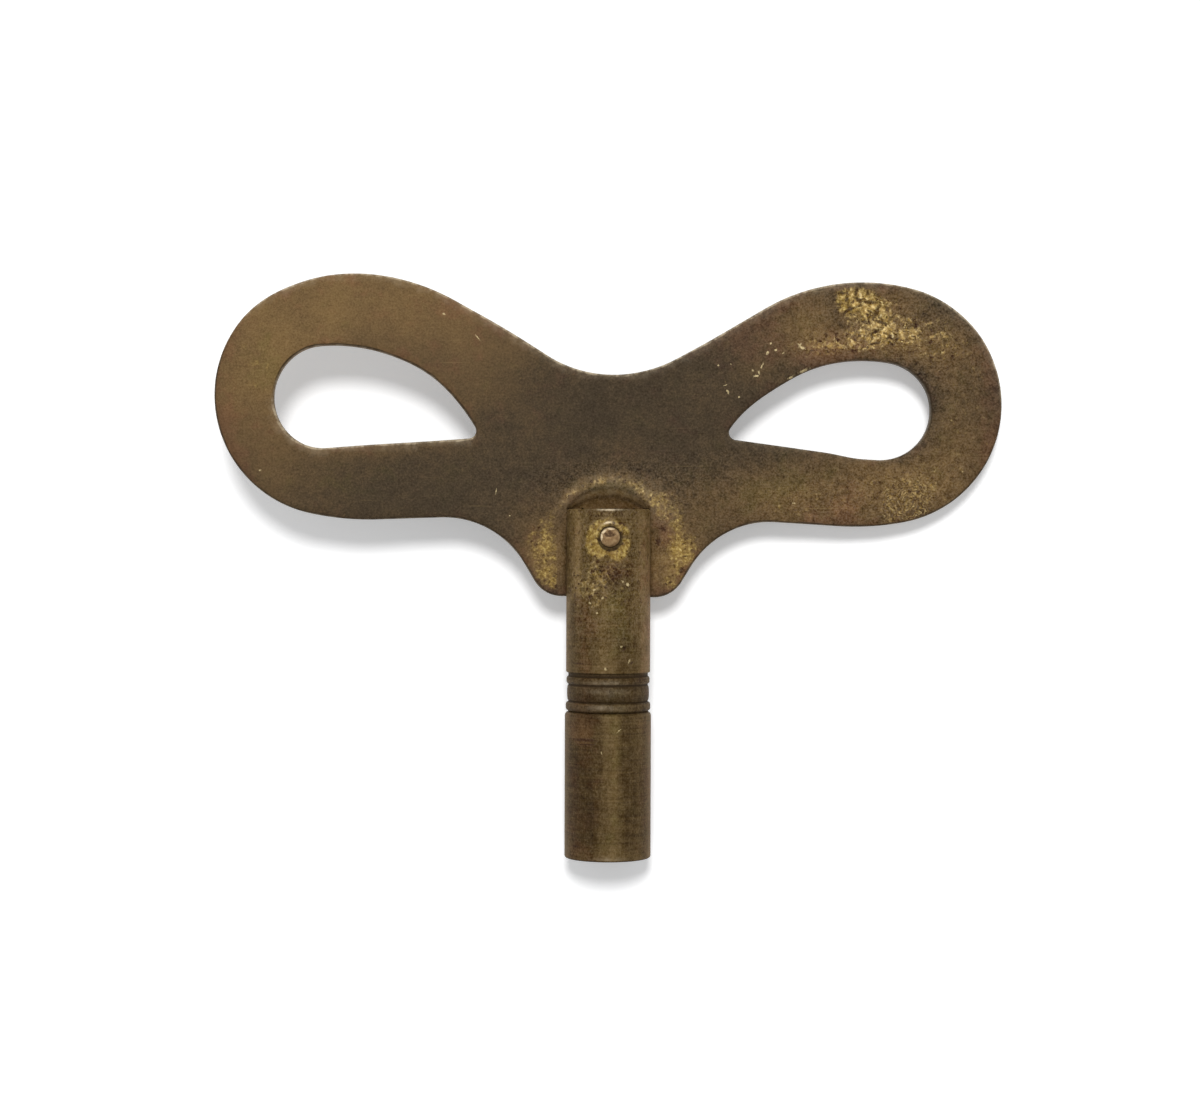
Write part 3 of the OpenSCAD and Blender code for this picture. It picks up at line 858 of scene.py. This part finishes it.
def finish_shank(obj, points):
    """Paints the shank's fields: patina, the bare ring round the rivet, the turned rings, the ends, painted
    reflection bands, painted highlights and painted shadow.
    """
    x, y, z = points.T
    out = np.hypot(x, z)
    up = y - RIVET_Y
    from_rivet = np.hypot(x, up)
    around = np.degrees(np.arctan2(up, x))
    upper, lower = near(around, 88, 40), near(around, -98, 12)
    bare_r = 2 + 0.45 * near(around, -62, 22) + 0.4 * near(around, -140, 30) - 0.2 * lower
    bare_r = bare_r + 0.25 * near(np.abs(around), 180, 40) - 0.32 * upper
    bare = fade(from_rivet - bare_r, 0.35, -0.35) * (z > 0)
    bare = bare * (1 - 0.5 * near(around, 10, 28) - 0.35 * lower - 0.35 * upper)
    above = fade(y, RINGS_TO - 0.1, RINGS_TO + 0.1)
    below = fade(y, RINGS_FROM + 0.1, RINGS_FROM - 0.1)
    in_rings = (1 - above) * (1 - below)
    in_pocket = fade(y, TONGUE_BOTTOM - 0.3, TONGUE_BOTTOM + 0.6)
    reddish = near(x, 0, 1.7) * near(up, -3.4, 0.9)
    rusty = near(x, -2.5, 0.9) * near(up, -18.6, 0.9)
    free = 1 - in_pocket * np.where(x < 0, 1, 0.6)
    # Painted reflection on the round shank: a lighter band down the middle of the barrel and the neck,
    # darker bands beside it on the barrel, and light streaks near the sides
    on_barrel = 0.24 * near(x, 0.2, 1) - 0.05 + 0.06 * fade(y, 9, 13) + 0.14 * fade(y, 2.5, 0.3)
    on_barrel = on_barrel - 0.05 * near(x, -1.6, 0.6) - 0.03 * near(x, 1.6, 0.4)
    on_barrel = on_barrel + 0.1 * fade(x, 1.9, 2.7)
    on_neck = 0.12 + 0.12 * near(x, -0.3, 0.9) + 0.08 * fade(y, 20, 27)
    on_neck = on_neck + 0.34 * near(x, -3.1, 0.45) * in_pocket + 0.26 * near(x, 3.3, 0.7)
    tone = 0.35 + 0.03 * bare - 0.1 * reddish + 0.17 * rusty + below * on_barrel + above * on_neck
    tone = tone - 0.22 * near(up, 2.3, 0.45) * near(x, 0, 2.2)
    tone = tone - 0.2 * near(up, -4.2, 1.6) * near(x, 0.2, 1.6)
    # Painted light lifts the shank's sides against their shading, least inside the pocket
    tone = tone + 0.3 * fade(np.abs(x), 3.4, 4) * np.where(above > 0.5, free, 0.7)

    (foot, crown), (low, high), (neck, collar) = (bead[:2] for bead in RING_BEADS)
    on_wide = (y > low) * (y < high)
    # Darker in the grooves, on the wide bead towards its foot, inside the socket and along the mouth's edge
    grooves = 0.85 * fade(out, 3.86, 3.79) * in_rings * np.where(on_wide, 0.5, 1)
    wide = on_wide * (0.12 + 0.16 * fade(y, high - 0.6, low))
    # Painted shadow in the rivet's countersink, wider below the dome
    sink_shadow = 0.9 * fade(np.hypot(x, up + 0.15), 1.26, 1.12) * (z > 0)
    inner = fade(out, 3.6, 3) * (y < SQUARE_DEPTH + 4) * (y > 0.02)
    mouth_edge = 0.75 * fade(y, 0.17, 0.06) * (out > 3.6)
    mouth_line = near(y, 0.32, 0.14) * (out > 3.6) * near(x, -0.1, 1.3)
    # Painted highlight along the shank's upper edge
    end_highlight = near(y, SHANK_LEN - 0.07, 0.09) * (out > 3.5) * near(x, 0, 1.2)
    # Painted highlight in a crescent above the rivet, just outside its countersink
    rivet_rim_highlight = near(from_rivet, 1.38, 0.10) * near(around, 105, 28) * (z > 0)
    # Painted highlights along the beads
    glint = near(y, neck * 0.7 + collar * 0.3, 0.18) + near(y, (foot + crown) / 2, 0.24)
    glint = (glint + 0.6 * near(y, high - 0.5, 0.35)) * near(x, -0.2, 1.9) * (out > 3.82)
    russet = (0.5 - 0.7 * in_pocket) * near(x, -2.6, 1.2) + 0.5 * fade(x, 2, 3.8)
    flecked = 0.5 + 0.45 * near(x, -1.8, 1.3) * near(up, -4.4, 2.2)
    paint(
        obj,
        tone=tone - 0.04 * in_rings,
        wear=flecked * fade(y, 19, 25) * (1 - bare),
        brassy=bare,
        crackle=np.zeros(len(x)),
        hue=russet + 0.9 * reddish + 1.6 * rusty - 0.5 * near(x, 0.6, 1.2) * (up < -5),
        blotch=0.3 + 0.4 * fade(y, RINGS_TO, 22) + 0.1 * in_rings,
        # Painted highlights on the upper edge, the beads and above the rivet, and a pale line at the mouth
        cut=np.maximum.reduce([1.15 * end_highlight, 0.22 * glint, 0.85 * rivet_rim_highlight, 0.35 * mouth_line]),
        grime=np.maximum.reduce([grooves, sink_shadow, inner, wide, mouth_edge]))


# Dark dents in the rivet's dome, in the form of the nicks
RIVET_DENTS = (
    (-0.06, 0.5, 0.28, 0.22, 20), (-0.32, 0.22, 0.36, 0.22, -30), (0.28, 0.2, 0.32, 0.2, 25),
    (-0.02, 0.14, 0.26, 0.2, 0), (-0.02, 0.34, 0.36, 0.26, 0),
)
# Where its dome carries a painted highlight
RIVET_GLINTS = (
    (-0.6, 0.52, 0.46, 0.15, 48), (0.05, 0.78, 0.46, 0.15, -4), (-0.8, 0, 0.12, 0.4, 0),
)
# Points round the rivet, and rows along its parts
RIVET_SIDES = 64
DOME_ROWS, SHAFT_ROWS, TAIL_ROWS = 15, 8, 14
# Where the dome's rows lie, as shares of the shaft's radius, and its edge as (share, height above its foot)
DOME_SPAN = (0.06, 0.9)
DOME_EDGE = ((0.965, 0.045), (1, -0.04))
# How far the shaft's rows stay from the dome's foot and from the bulge
SHAFT_CLEAR = (0.3, 0.2)
# The peened tail: its seat's radii and drop below the bulge, its edge's radius and drop, and its rows' radii
SEAT_RADII = (RIVET_R, 1.15, 1.45)
SEAT_DROP = 0.03
TAIL_EDGE_R, TAIL_EDGE_DROP = 1.53, 0.1
TAIL_RADII = (1.5, 0.08)
# Dents: their size, and their depths on the dome and on the tail
DENT_SIZE = 0.8
DOME_DENTS = 0.07
TAIL_DENTS = 0.12


def make_rivet():
    """Rivet as rings round its axis: hammered dome, shaft and peened tail."""
    a = 2 * pi * np.arange(RIVET_SIDES) / RIVET_SIDES
    dome_r = (RIVET_R ** 2 + DOME_H ** 2) / (2 * DOME_H)
    edge_z = DOME_TOP - DOME_H
    tail_mid = TAIL_LOW + TAIL_R
    # Rows are (radius, height), or (radius, None, drop) where they lie below the pocket's bulge by a drop
    rows = [(r, DOME_TOP - dome_r + sqrt(dome_r ** 2 - r ** 2))
            for r in np.linspace(*DOME_SPAN, DOME_ROWS) * RIVET_R]
    rows += [(RIVET_R * share, edge_z + rise) for share, rise in DOME_EDGE]
    shaft = np.linspace(edge_z - SHAFT_CLEAR[0], -BULGE_R + SHAFT_CLEAR[1], SHAFT_ROWS)
    rows += [(RIVET_R, z) for z in shaft]
    rows += [(r, None, 0) for r in SEAT_RADII]
    rows += [(TAIL_EDGE_R, None, TAIL_EDGE_DROP)]
    rows += [(r, tail_mid - sqrt(TAIL_R ** 2 - r ** 2)) for r in np.linspace(*TAIL_RADII, TAIL_ROWS)]
    rings = []
    for r, z, *drop in rows:
        across = r * np.cos(a)
        if z is None:
            height = -np.sqrt((BULGE_R + SEAT_DROP) ** 2 - across ** 2) - drop[0]
        else:
            height = np.full(RIVET_SIDES, min(z, DOME_TOP))
        rings.append(np.column_stack([across, RIVET_Y + r * np.sin(a), height]))
    points = np.vstack([(0, RIVET_Y, DOME_TOP), *rings, (0, RIVET_Y, TAIL_LOW)])
    dents = np.clip(0.5 + 0.5 * clouds(points * (1, 1, 0.2), DENT_SIZE, 9, 1), 0, 1)
    dome = points[:, 2] > edge_z + 0.02
    tail = points[:, 2] < -BULGE_R - 0.12
    points[:, 2] += np.where(tail, TAIL_DENTS * dents, 0) - np.where(dome, DOME_DENTS * dents, 0)
    numbers = [1 + i * RIVET_SIDES + np.arange(RIVET_SIDES) for i in range(len(rows))]
    ends = (0, numbers[0]), (len(points) - 1, numbers[-1][::-1])
    faces = [(tip, p, q) for tip, row in ends for p, q in zip(row, np.roll(row, -1))]
    for first, second in zip(numbers, numbers[1:]):
        faces += band(second, first)
    obj = put_piece("rivet_pin", points, faces)
    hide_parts("rivet")
    out = np.hypot(points[:, 0], points[:, 1] - RIVET_Y)
    # Painted shade round the dome's rim, where it meets the countersink
    paint(obj, grime=0.6 * fade(out, 0.86, 0.98) * (points[:, 2] > 0))
    return obj


def srgb(r, g, b):
    """Linear colour with alpha, from a screen colour of 0 to 255."""
    def linear(c):
        c /= 255
        return c / 12.92 if c <= 0.04045 else ((c + 0.055) / 1.055) ** 2.4
    return linear(r), linear(g), linear(b), 1.0


class Nodes:
    """Builds a node tree; most methods add a node and return its output."""

    def __init__(self, tree):
        self.tree = tree
        tree.nodes.clear()

    def add(self, kind, output, inputs=None, **settings):
        node = self.tree.nodes.new("ShaderNode" + kind)
        for key, value in settings.items():
            setattr(node, key, value)
        for key, value in (inputs or {}).items():
            if isinstance(value, bpy.types.NodeSocket):
                self.tree.links.new(value, node.inputs[key])
            else:
                node.inputs[key].default_value = value
        return node.outputs[output]

    def calc(self, operation, a, b=0, clamp=False):
        return self.add("Math", 0, {0: a, 1: b}, operation=operation, use_clamp=clamp)

    plus = partialmethod(calc, "ADD")
    minus = partialmethod(calc, "SUBTRACT")
    times = partialmethod(calc, "MULTIPLY")
    larger = partialmethod(calc, "MAXIMUM")

    def seen_directly(self, strength, otherwise=0):
        """A strength for camera, glossy and transmission rays, and another for the rest."""
        value = self.add("LightPath", "Is Camera Ray")
        path = value.node
        for name in ("Is Glossy Ray", "Is Transmission Ray"):
            value = self.larger(value, path.outputs[name])
        return self.add("MapRange", 0, {"Value": value, "To Min": otherwise, "To Max": strength})

    def end(self, kind, shader):
        output = self.tree.nodes.new("ShaderNodeOutput" + kind)
        self.tree.links.new(shader, output.inputs["Surface"])


class Finish(Nodes):
    """The nodes of a piece's material, with places in millimetres."""

    def __init__(self, name):
        self.material = bpy.data.materials.new(name)
        self.material.use_nodes = True
        super().__init__(self.material.node_tree)
        place = self.add("TexCoord", "Object")
        self.place = self.add("VectorMath", 0, {0: place, "Scale": 1 / MM}, operation="SCALE")

    def field(self, name):
        return self.add("Attribute", "Fac", attribute_name=name)

    def sway(self, level, value, amount):
        """The level moved by how far a noise value is from its middle."""
        return self.plus(level, self.times(self.minus(value, 0.5), amount))

    def spread(self, value, low, high, to_low=0, to_high=1):
        inputs = {"Value": value, "From Min": low, "From Max": high, "To Min": to_low, "To Max": to_high}
        return self.add("MapRange", 0, inputs, interpolation_type="SMOOTHSTEP")

    def noise(self, size, detail=4, roughness=0.6, distortion=0, at=None, stretch=(1, 1, 1), turn=0):
        """Fractal noise with features of that size, from its own place in the pattern if one is given."""
        place = self.place
        if at:
            inputs = {"Vector": place, "Location": at, "Scale": stretch, "Rotation": (0, 0, radians(turn))}
            place = self.add("Mapping", 0, inputs)
        inputs = {"Vector": place, "Scale": 1 / size, "Detail": detail,
                  "Roughness": roughness, "Distortion": distortion}
        return self.add("TexNoise", 0, inputs)

    def mix(self, factor, a, b, blend="MIX"):
        return self.add("Mix", 2, {0: factor, 6: a, 7: b}, data_type="RGBA", blend_type=blend)

    def ramp(self, value, *stops):
        output = self.add("ValToRGB", 0, {0: value})
        elements = output.node.color_ramp.elements
        elements.remove(elements[1])
        elements[0].position, elements[0].color = stops[0]
        for spot, colour in stops[1:]:
            elements.new(spot).color = colour
        return output

    def marks(self, places, top, depth, raggedness=3):
        """1 inside ragged marks at the places, on a face at the height top, reaching below it by depth."""
        ragged = self.noise(0.16, 3, 0.7)
        nearest = None
        for x, y, half_l, half_w, turn in places:
            inputs = {"Vector": self.place, "Location": (x, y + RIVET_Y, top),
                      "Rotation": (0, 0, radians(turn)), "Scale": (half_l, half_w, depth)}
            spot = self.add("Mapping", 0, inputs, vector_type="TEXTURE")
            reach = self.add("VectorMath", "Value", {0: spot}, operation="LENGTH")
            nearest = reach if nearest is None else self.calc("MINIMUM", nearest, reach)
        return self.spread(self.sway(nearest, ragged, raggedness), 1.1, 0.4)

    def surface(self, colour, metallic, roughness, bump, specular):
        inputs = {"Height": bump, "Distance": BUMP_HEIGHT * MM, "Strength": 1}
        inputs = {"Base Color": colour, "Metallic": metallic, "Roughness": roughness,
                  "Normal": self.add("Bump", 0, inputs), "Specular IOR Level": specular}
        self.end("Material", self.add("BsdfPrincipled", 0, inputs))
        return self.material


# Colours of the metals: ramps from dull to bright, and the colours of marks on them, painted highlights and
# painted shade among them
HANDLE_PATINA = (
    (0.0, srgb(38, 30, 20)), (0.25, srgb(62, 50, 34)), (0.6, srgb(94, 73, 45)), (1.0, srgb(128, 101, 60)))
SHANK_PATINA = (
    (0.0, srgb(34, 23, 10)), (0.3, srgb(64, 48, 24)), (0.6, srgb(95, 76, 45)), (1.0, srgb(131, 107, 70)))
YELLOW_BRASS = ((0.3, srgb(104, 78, 34)), (0.5, srgb(144, 117, 59)), (0.7, srgb(200, 175, 106)))
BARE_BRASS = ((0.3, srgb(122, 96, 46)), (0.5, srgb(158, 132, 80)), (0.72, srgb(222, 200, 146)))
RIVET_BRASS = ((0.3, srgb(114, 88, 59)), (0.5, srgb(142, 114, 80)), (0.7, srgb(172, 144, 106)))
RUSSET = (1.09, 0.95, 1.04, 1)
OLIVE = (0.95, 1.03, 0.90, 1)
PALE_SPECK = (0.070, 0.062, 0.054, 1)
DARK_SPECK = (0.070, 0.058, 0.046, 1)
WHORL_GROOVE = srgb(66, 50, 28)
CRACK = srgb(56, 38, 16)
PIT = srgb(56, 35, 20)
NICK = srgb(204, 184, 138)
SCRATCH = srgb(160, 136, 92)
DIRT_AND_SHADE = srgb(44, 32, 18)
RUB_AND_SHEEN = srgb(208, 191, 162)
RIVET_HIGHLIGHT = srgb(232, 210, 172)
RIVET_DENT = srgb(70, 48, 30)
RIVET_RIM_SHADE = srgb(60, 42, 26)
BUMP_HEIGHT = 0.03
PATINA_SPECULAR = 0.12
RIVET_SPECULAR = 0.1


def aged_brass(name, patina, grain_stretch, streaks, turning, nicks, spots, face, splits=(), whorl=None):
    """Brass under a brown patina; painted fields say where it is light, worn, yellow, crackled or dirty, and
    where painted highlights and painted shade lie.
    """
    f = Finish(name)
    names = ("tone", "wear", "brassy", "crackle", "hue", "blotch", "grime", "cut")
    tone, wear, brassy, crackle, hue, blotch, grime, cut = (f.field(n) for n in names)
    mottle = f.noise(0.65, 5, 0.75, 0.4, at=(7, 3, 1))
    grain = f.noise(0.2, 3, 0.75, at=(1, 5, 2), stretch=grain_stretch)
    lathe = f.noise(0.6, 2, 0.6, at=(3, 9, 4), stretch=(0.12, 3.5, 0.12))
    level = f.sway(tone, f.noise(5, 5), 0.32)
    level = f.sway(level, mottle, f.spread(blotch, 0, 1, 0.4, 1.2))
    level = f.sway(level, grain, 0.5)
    level = f.sway(level, f.noise(0.7, 3, 0.6, at=(6, 2, 8), stretch=(1, 0.07, 1)), streaks)
    level = f.sway(level, lathe, turning)
    colour = f.ramp(level, *patina)
    lean = f.sway(hue, f.noise(2, 5, 0.65, at=(21, 4, 9)), 3.4)
    colour = f.mix(f.spread(lean, 0.1, 1), colour, RUSSET, "MULTIPLY")
    colour = f.mix(f.spread(lean, -0.1, -1), colour, OLIVE, "MULTIPLY")

    shine = f.noise(0.3, at=(2, 8, 30))
    patchy = f.noise(0.9, 5, 0.7, 0.5, at=(12, 7, 3))
    stain = f.sway(f.sway(brassy, patchy, 1.8), grain, 0.5)
    stain = f.sway(stain, shine, f.spread(brassy, 0.1, 0.5, 0, 0.6))
    stain = f.spread(stain, 0.25, 0.9)
    yellow = f.ramp(shine, *YELLOW_BRASS)
    colour = f.mix(f.times(stain, 0.78), colour, yellow)

    flecks = f.noise(0.55, 6, 0.72, 0.5, at=(9, 1, 13))
    bare = f.plus(f.times(wear, 0.3), flecks)
    bare = f.spread(bare, 0.68, 0.88)
    metal = f.ramp(shine, *BARE_BRASS)
    shown = f.plus(f.spread(wear, 0, 1, 0.3, 0.6), f.times(crackle, 0.3))
    colour = f.mix(f.times(bare, shown), colour, metal)
    worm = f.times(f.noise(1.5, 3, 0.55, 1, at=(15, 22, 4)), 22)
    worm = f.times(f.calc("SINE", worm), f.spread(brassy, 0.1, 0.5))
    fine = f.times(f.noise(2, 3, 0.5, 0.4, at=(5, 12, 14)), 40)
    fine = f.times(f.calc("SINE", fine), 0.6)
    folds = f.times(f.plus(worm, fine), crackle)
    ridges = f.times(f.spread(folds, 0.5, 1.3), f.spread(patchy, 0.4, 0.6, 0.25, 0.8))
    colour = f.mix(ridges, colour, metal)
    cracks = f.times(f.spread(folds, -0.65, -1.25), f.spread(mottle, 0.35, 0.6, 0.35, 1))
    if whorl:
        x, y, reach = whorl
        away = f.add("VectorMath", "Value", {0: f.place, 1: (x, y + RIVET_Y, face[0])}, operation="DISTANCE")
        turns = f.sway(f.times(away, 15), f.noise(1.3, 3, 0.6, at=(3, 3, 9)), 50)
        lines = f.times(f.calc("SINE", turns), f.spread(away, reach, reach * 0.4))
        broken = f.spread(patchy, 0.38, 0.6, 0.1, 0.65)
        colour = f.mix(f.times(f.spread(lines, 0.1, 0.9), broken), colour, metal)
        broken = f.spread(mottle, 0.38, 0.6, 0.2, 0.75)
        colour = f.mix(f.times(f.spread(lines, -0.1, -0.9), broken), colour, WHORL_GROOVE)
    if splits:
        cracks = f.larger(cracks, f.marks(splits, *face, 1.6))
    colour = f.mix(f.times(cracks, 0.9), colour, CRACK)

    pits = f.spread(f.noise(0.5, 3, 0.6, at=(4, 2, 6)), 0.57, 0.67)
    pits = f.times(pits, f.spread(f.larger(wear, brassy), 0.2, 0.7))
    pits = f.larger(pits, f.marks(spots, *face))
    colour = f.mix(f.times(pits, 0.85), colour, PIT)
    nick = f.times(f.marks(nicks, *face), f.spread(shine, 0.35, 0.6, 0.45, 0.85))
    colour = f.mix(nick, colour, NICK)
    lines = f.noise(1, 3, 0.5, at=(5, 5, 5), stretch=(0.12, 9, 1), turn=24)
    lines = f.spread(lines, 0.66, 0.74, 0, 0.2)
    colour = f.mix(lines, colour, SCRATCH)
    sharpness = f.spread(blotch, 0, 1, 0.7, 3)
    # Grain specks; the pale ones are added greyer than the dark ones are taken away, as a painted sheen off
    # the grain
    specks = f.sway(grain, mottle, 0.5)
    paler = f.times(f.minus(specks, 0.5), sharpness, True)
    darker = f.times(f.minus(0.5, specks), sharpness, True)
    colour = f.mix(paler, colour, PALE_SPECK, "ADD")
    colour = f.mix(darker, colour, DARK_SPECK, "SUBTRACT")
    # Darkening from the painted field, partly dirt and partly painted shade
    dirt_and_shade_mix = f.times(grime, f.spread(mottle, 0.2, 0.6, 0.75, 1))
    colour = f.mix(dirt_and_shade_mix, colour, DIRT_AND_SHADE)

    # Pale edges broken into dashes: painted highlights on edges, beads and rims, and bare sheared walls that
    # are partly a painted reflection
    dashes = f.noise(0.7, 4, 0.65, at=(8, 14, 3), stretch=(1, 1, 0.25))
    dashes = f.spread(dashes, 0.38, 0.62, 0.25, 1)
    sheen_and_rub = f.times(cut, dashes)
    colour = f.mix(sheen_and_rub, colour, RUB_AND_SHEEN)
    metallic = f.spread(f.larger(f.times(bare, 0.6), sheen_and_rub), 0, 1, 0.2, 0.8)
    rough = f.plus(f.times(mottle, 0.2), 0.5)
    rough = f.minus(rough, f.times(bare, 0.06))
    rough = f.minus(rough, f.times(sheen_and_rub, 0.22))
    rough = f.plus(rough, f.times(dirt_and_shade_mix, 0.2))
    height = f.plus(f.times(grain, 0.25), f.times(flecks, 0.5))
    height = f.minus(height, f.times(pits, 0.7))
    height = f.minus(height, f.times(cracks, 0.8))
    return f.surface(colour, metallic, rough, height, PATINA_SPECULAR)


def rivet_brass(name):
    f = Finish(name)
    tint = f.noise(0.5)
    colour = f.ramp(tint, *RIVET_BRASS)
    # Painted highlight on the dome
    colour = f.mix(f.marks(RIVET_GLINTS, DOME_TOP, 1, 1.5), colour, RIVET_HIGHLIGHT)
    dents = f.marks(RIVET_DENTS, DOME_TOP, 1, 1.5)
    colour = f.mix(f.times(dents, 0.9), colour, RIVET_DENT)
    # Painted shade round the dome's rim
    colour = f.mix(f.field("grime"), colour, RIVET_RIM_SHADE)
    metallic = f.spread(dents, 0, 1, 0.4, 0)
    rough = f.spread(dents, 0, 1, 0.52, 0.7)
    height = f.times(tint, 0.3)
    return f.surface(colour, metallic, rough, height, RIVET_SPECULAR)


def make_camera():
    """Camera above the key, at the photograph's angle and distance."""
    roll, pitch = radians(CAMERA_ROLL), radians(CAMERA_PITCH)
    back = Vector((-sin(roll), sin(pitch), cos(roll) * cos(pitch))).normalized()
    up = Matrix.Rotation(radians(CAMERA_SPIN), 3, back) @ Vector((0, 1, 0))
    right = up.cross(back).normalized()
    up = back.cross(right)
    aim = Vector(((PHOTO_W / 2 - SOCKET_PX[0]) * MM_PER_PX, (SOCKET_PX[1] - PHOTO_H / 2) * MM_PER_PX, 0))
    data = bpy.data.cameras.new("camera")
    data.sensor_width = SENSOR_MM
    data.lens = data.sensor_width * FOCAL_PX / PHOTO_W
    data.clip_start = NEAREST_M
    camera = linked("camera", data)
    axes = Matrix((right, up, back)).transposed().to_4x4()
    camera.matrix_world = Matrix.Translation((aim + back * FOCAL_PX * MM_PER_PX) * MM) @ axes
    bpy.context.scene.camera = camera


def make_floor(pieces):
    """Pale floor that the key's barrel and rivet tail touch, leaning as the key lies in the photograph."""
    lean = radians(FLOOR_ROLL)
    slope = (-TAIL_LOW - BARREL_R) / RIVET_Y
    normal = Vector((-sin(lean), slope, 1)).normalized()
    lowest = min(v.co.dot(normal) for piece in pieces for v in piece.data.vertices)
    across = Vector((0, 1, 0)).cross(normal).normalized()
    along = normal.cross(across)
    corners = [normal * lowest + across * sx * FLOOR_HALF + along * sy * FLOOR_HALF
               for sx, sy in ((-1, -1), (1, -1), (1, 1), (-1, 1))]
    mesh = bpy.data.meshes.new("floor")
    mesh.from_pydata([tuple(c) for c in corners], [], [(0, 1, 2, 3)])
    floor = linked("floor", mesh)
    material = bpy.data.materials.new("floor")
    material.use_nodes = True
    f = Nodes(material.node_tree)
    diffuse = f.add("BsdfDiffuse", 0, {"Color": FLOOR_COLOUR})
    glow = f.add("Emission", 0, {"Strength": f.seen_directly(FLOOR_GLOW)})
    f.end("Material", f.add("AddShader", 0, {0: diffuse, 1: glow}))
    mesh.materials.append(material)
    return normal


def make_light(normal):
    """Soft light from above, leaning to the top of the picture, and a pale even surround."""
    world = bpy.data.worlds.new("surround")
    bpy.context.scene.world = world
    world.use_nodes = True
    f = Nodes(world.node_tree)
    strength = f.seen_directly(1.0, SURROUND_LIGHT)
    f.end("World", f.add("Background", 0, {"Color": SURROUND_COLOUR, "Strength": strength}))
    direction = (normal + LAMP_LEAN).normalized()
    data = bpy.data.lights.new("softbox", "AREA")
    data.shape = "DISK"
    data.size = LAMP_SIZE
    data.energy = LAMP_POWER
    lamp = linked("softbox", data)
    lamp.location = Vector((0, RIVET_Y, 0)) * MM + direction * LAMP_AWAY
    lamp.rotation_mode = "QUATERNION"
    lamp.rotation_quaternion = direction.to_track_quat("Z", "Y")


handle = make_handle()
shank = make_shank()
rivet = make_rivet()
handle_patina = aged_brass("handle_patina", HANDLE_PATINA, (1, 1, 1), 0.0, 0.0,
                           HANDLE_NICKS, HANDLE_PITS, (FRONT_Z, 1.0), HANDLE_CRACKS, WHORL)
shank_patina = aged_brass("shank_patina", SHANK_PATINA, (1.2, 0.9, 1.2), 0.35, 0.4,
                          SHANK_NICKS, SHANK_PITS, (SHANK_R, 3.0))
handle.data.materials.append(handle_patina)
shank.data.materials.append(shank_patina)
rivet.data.materials.append(rivet_brass("rivet_metal"))
make_camera()
floor_normal = make_floor([handle, shank, rivet])
make_light(floor_normal)
bpy.context.scene.view_settings.view_transform = "Standard"
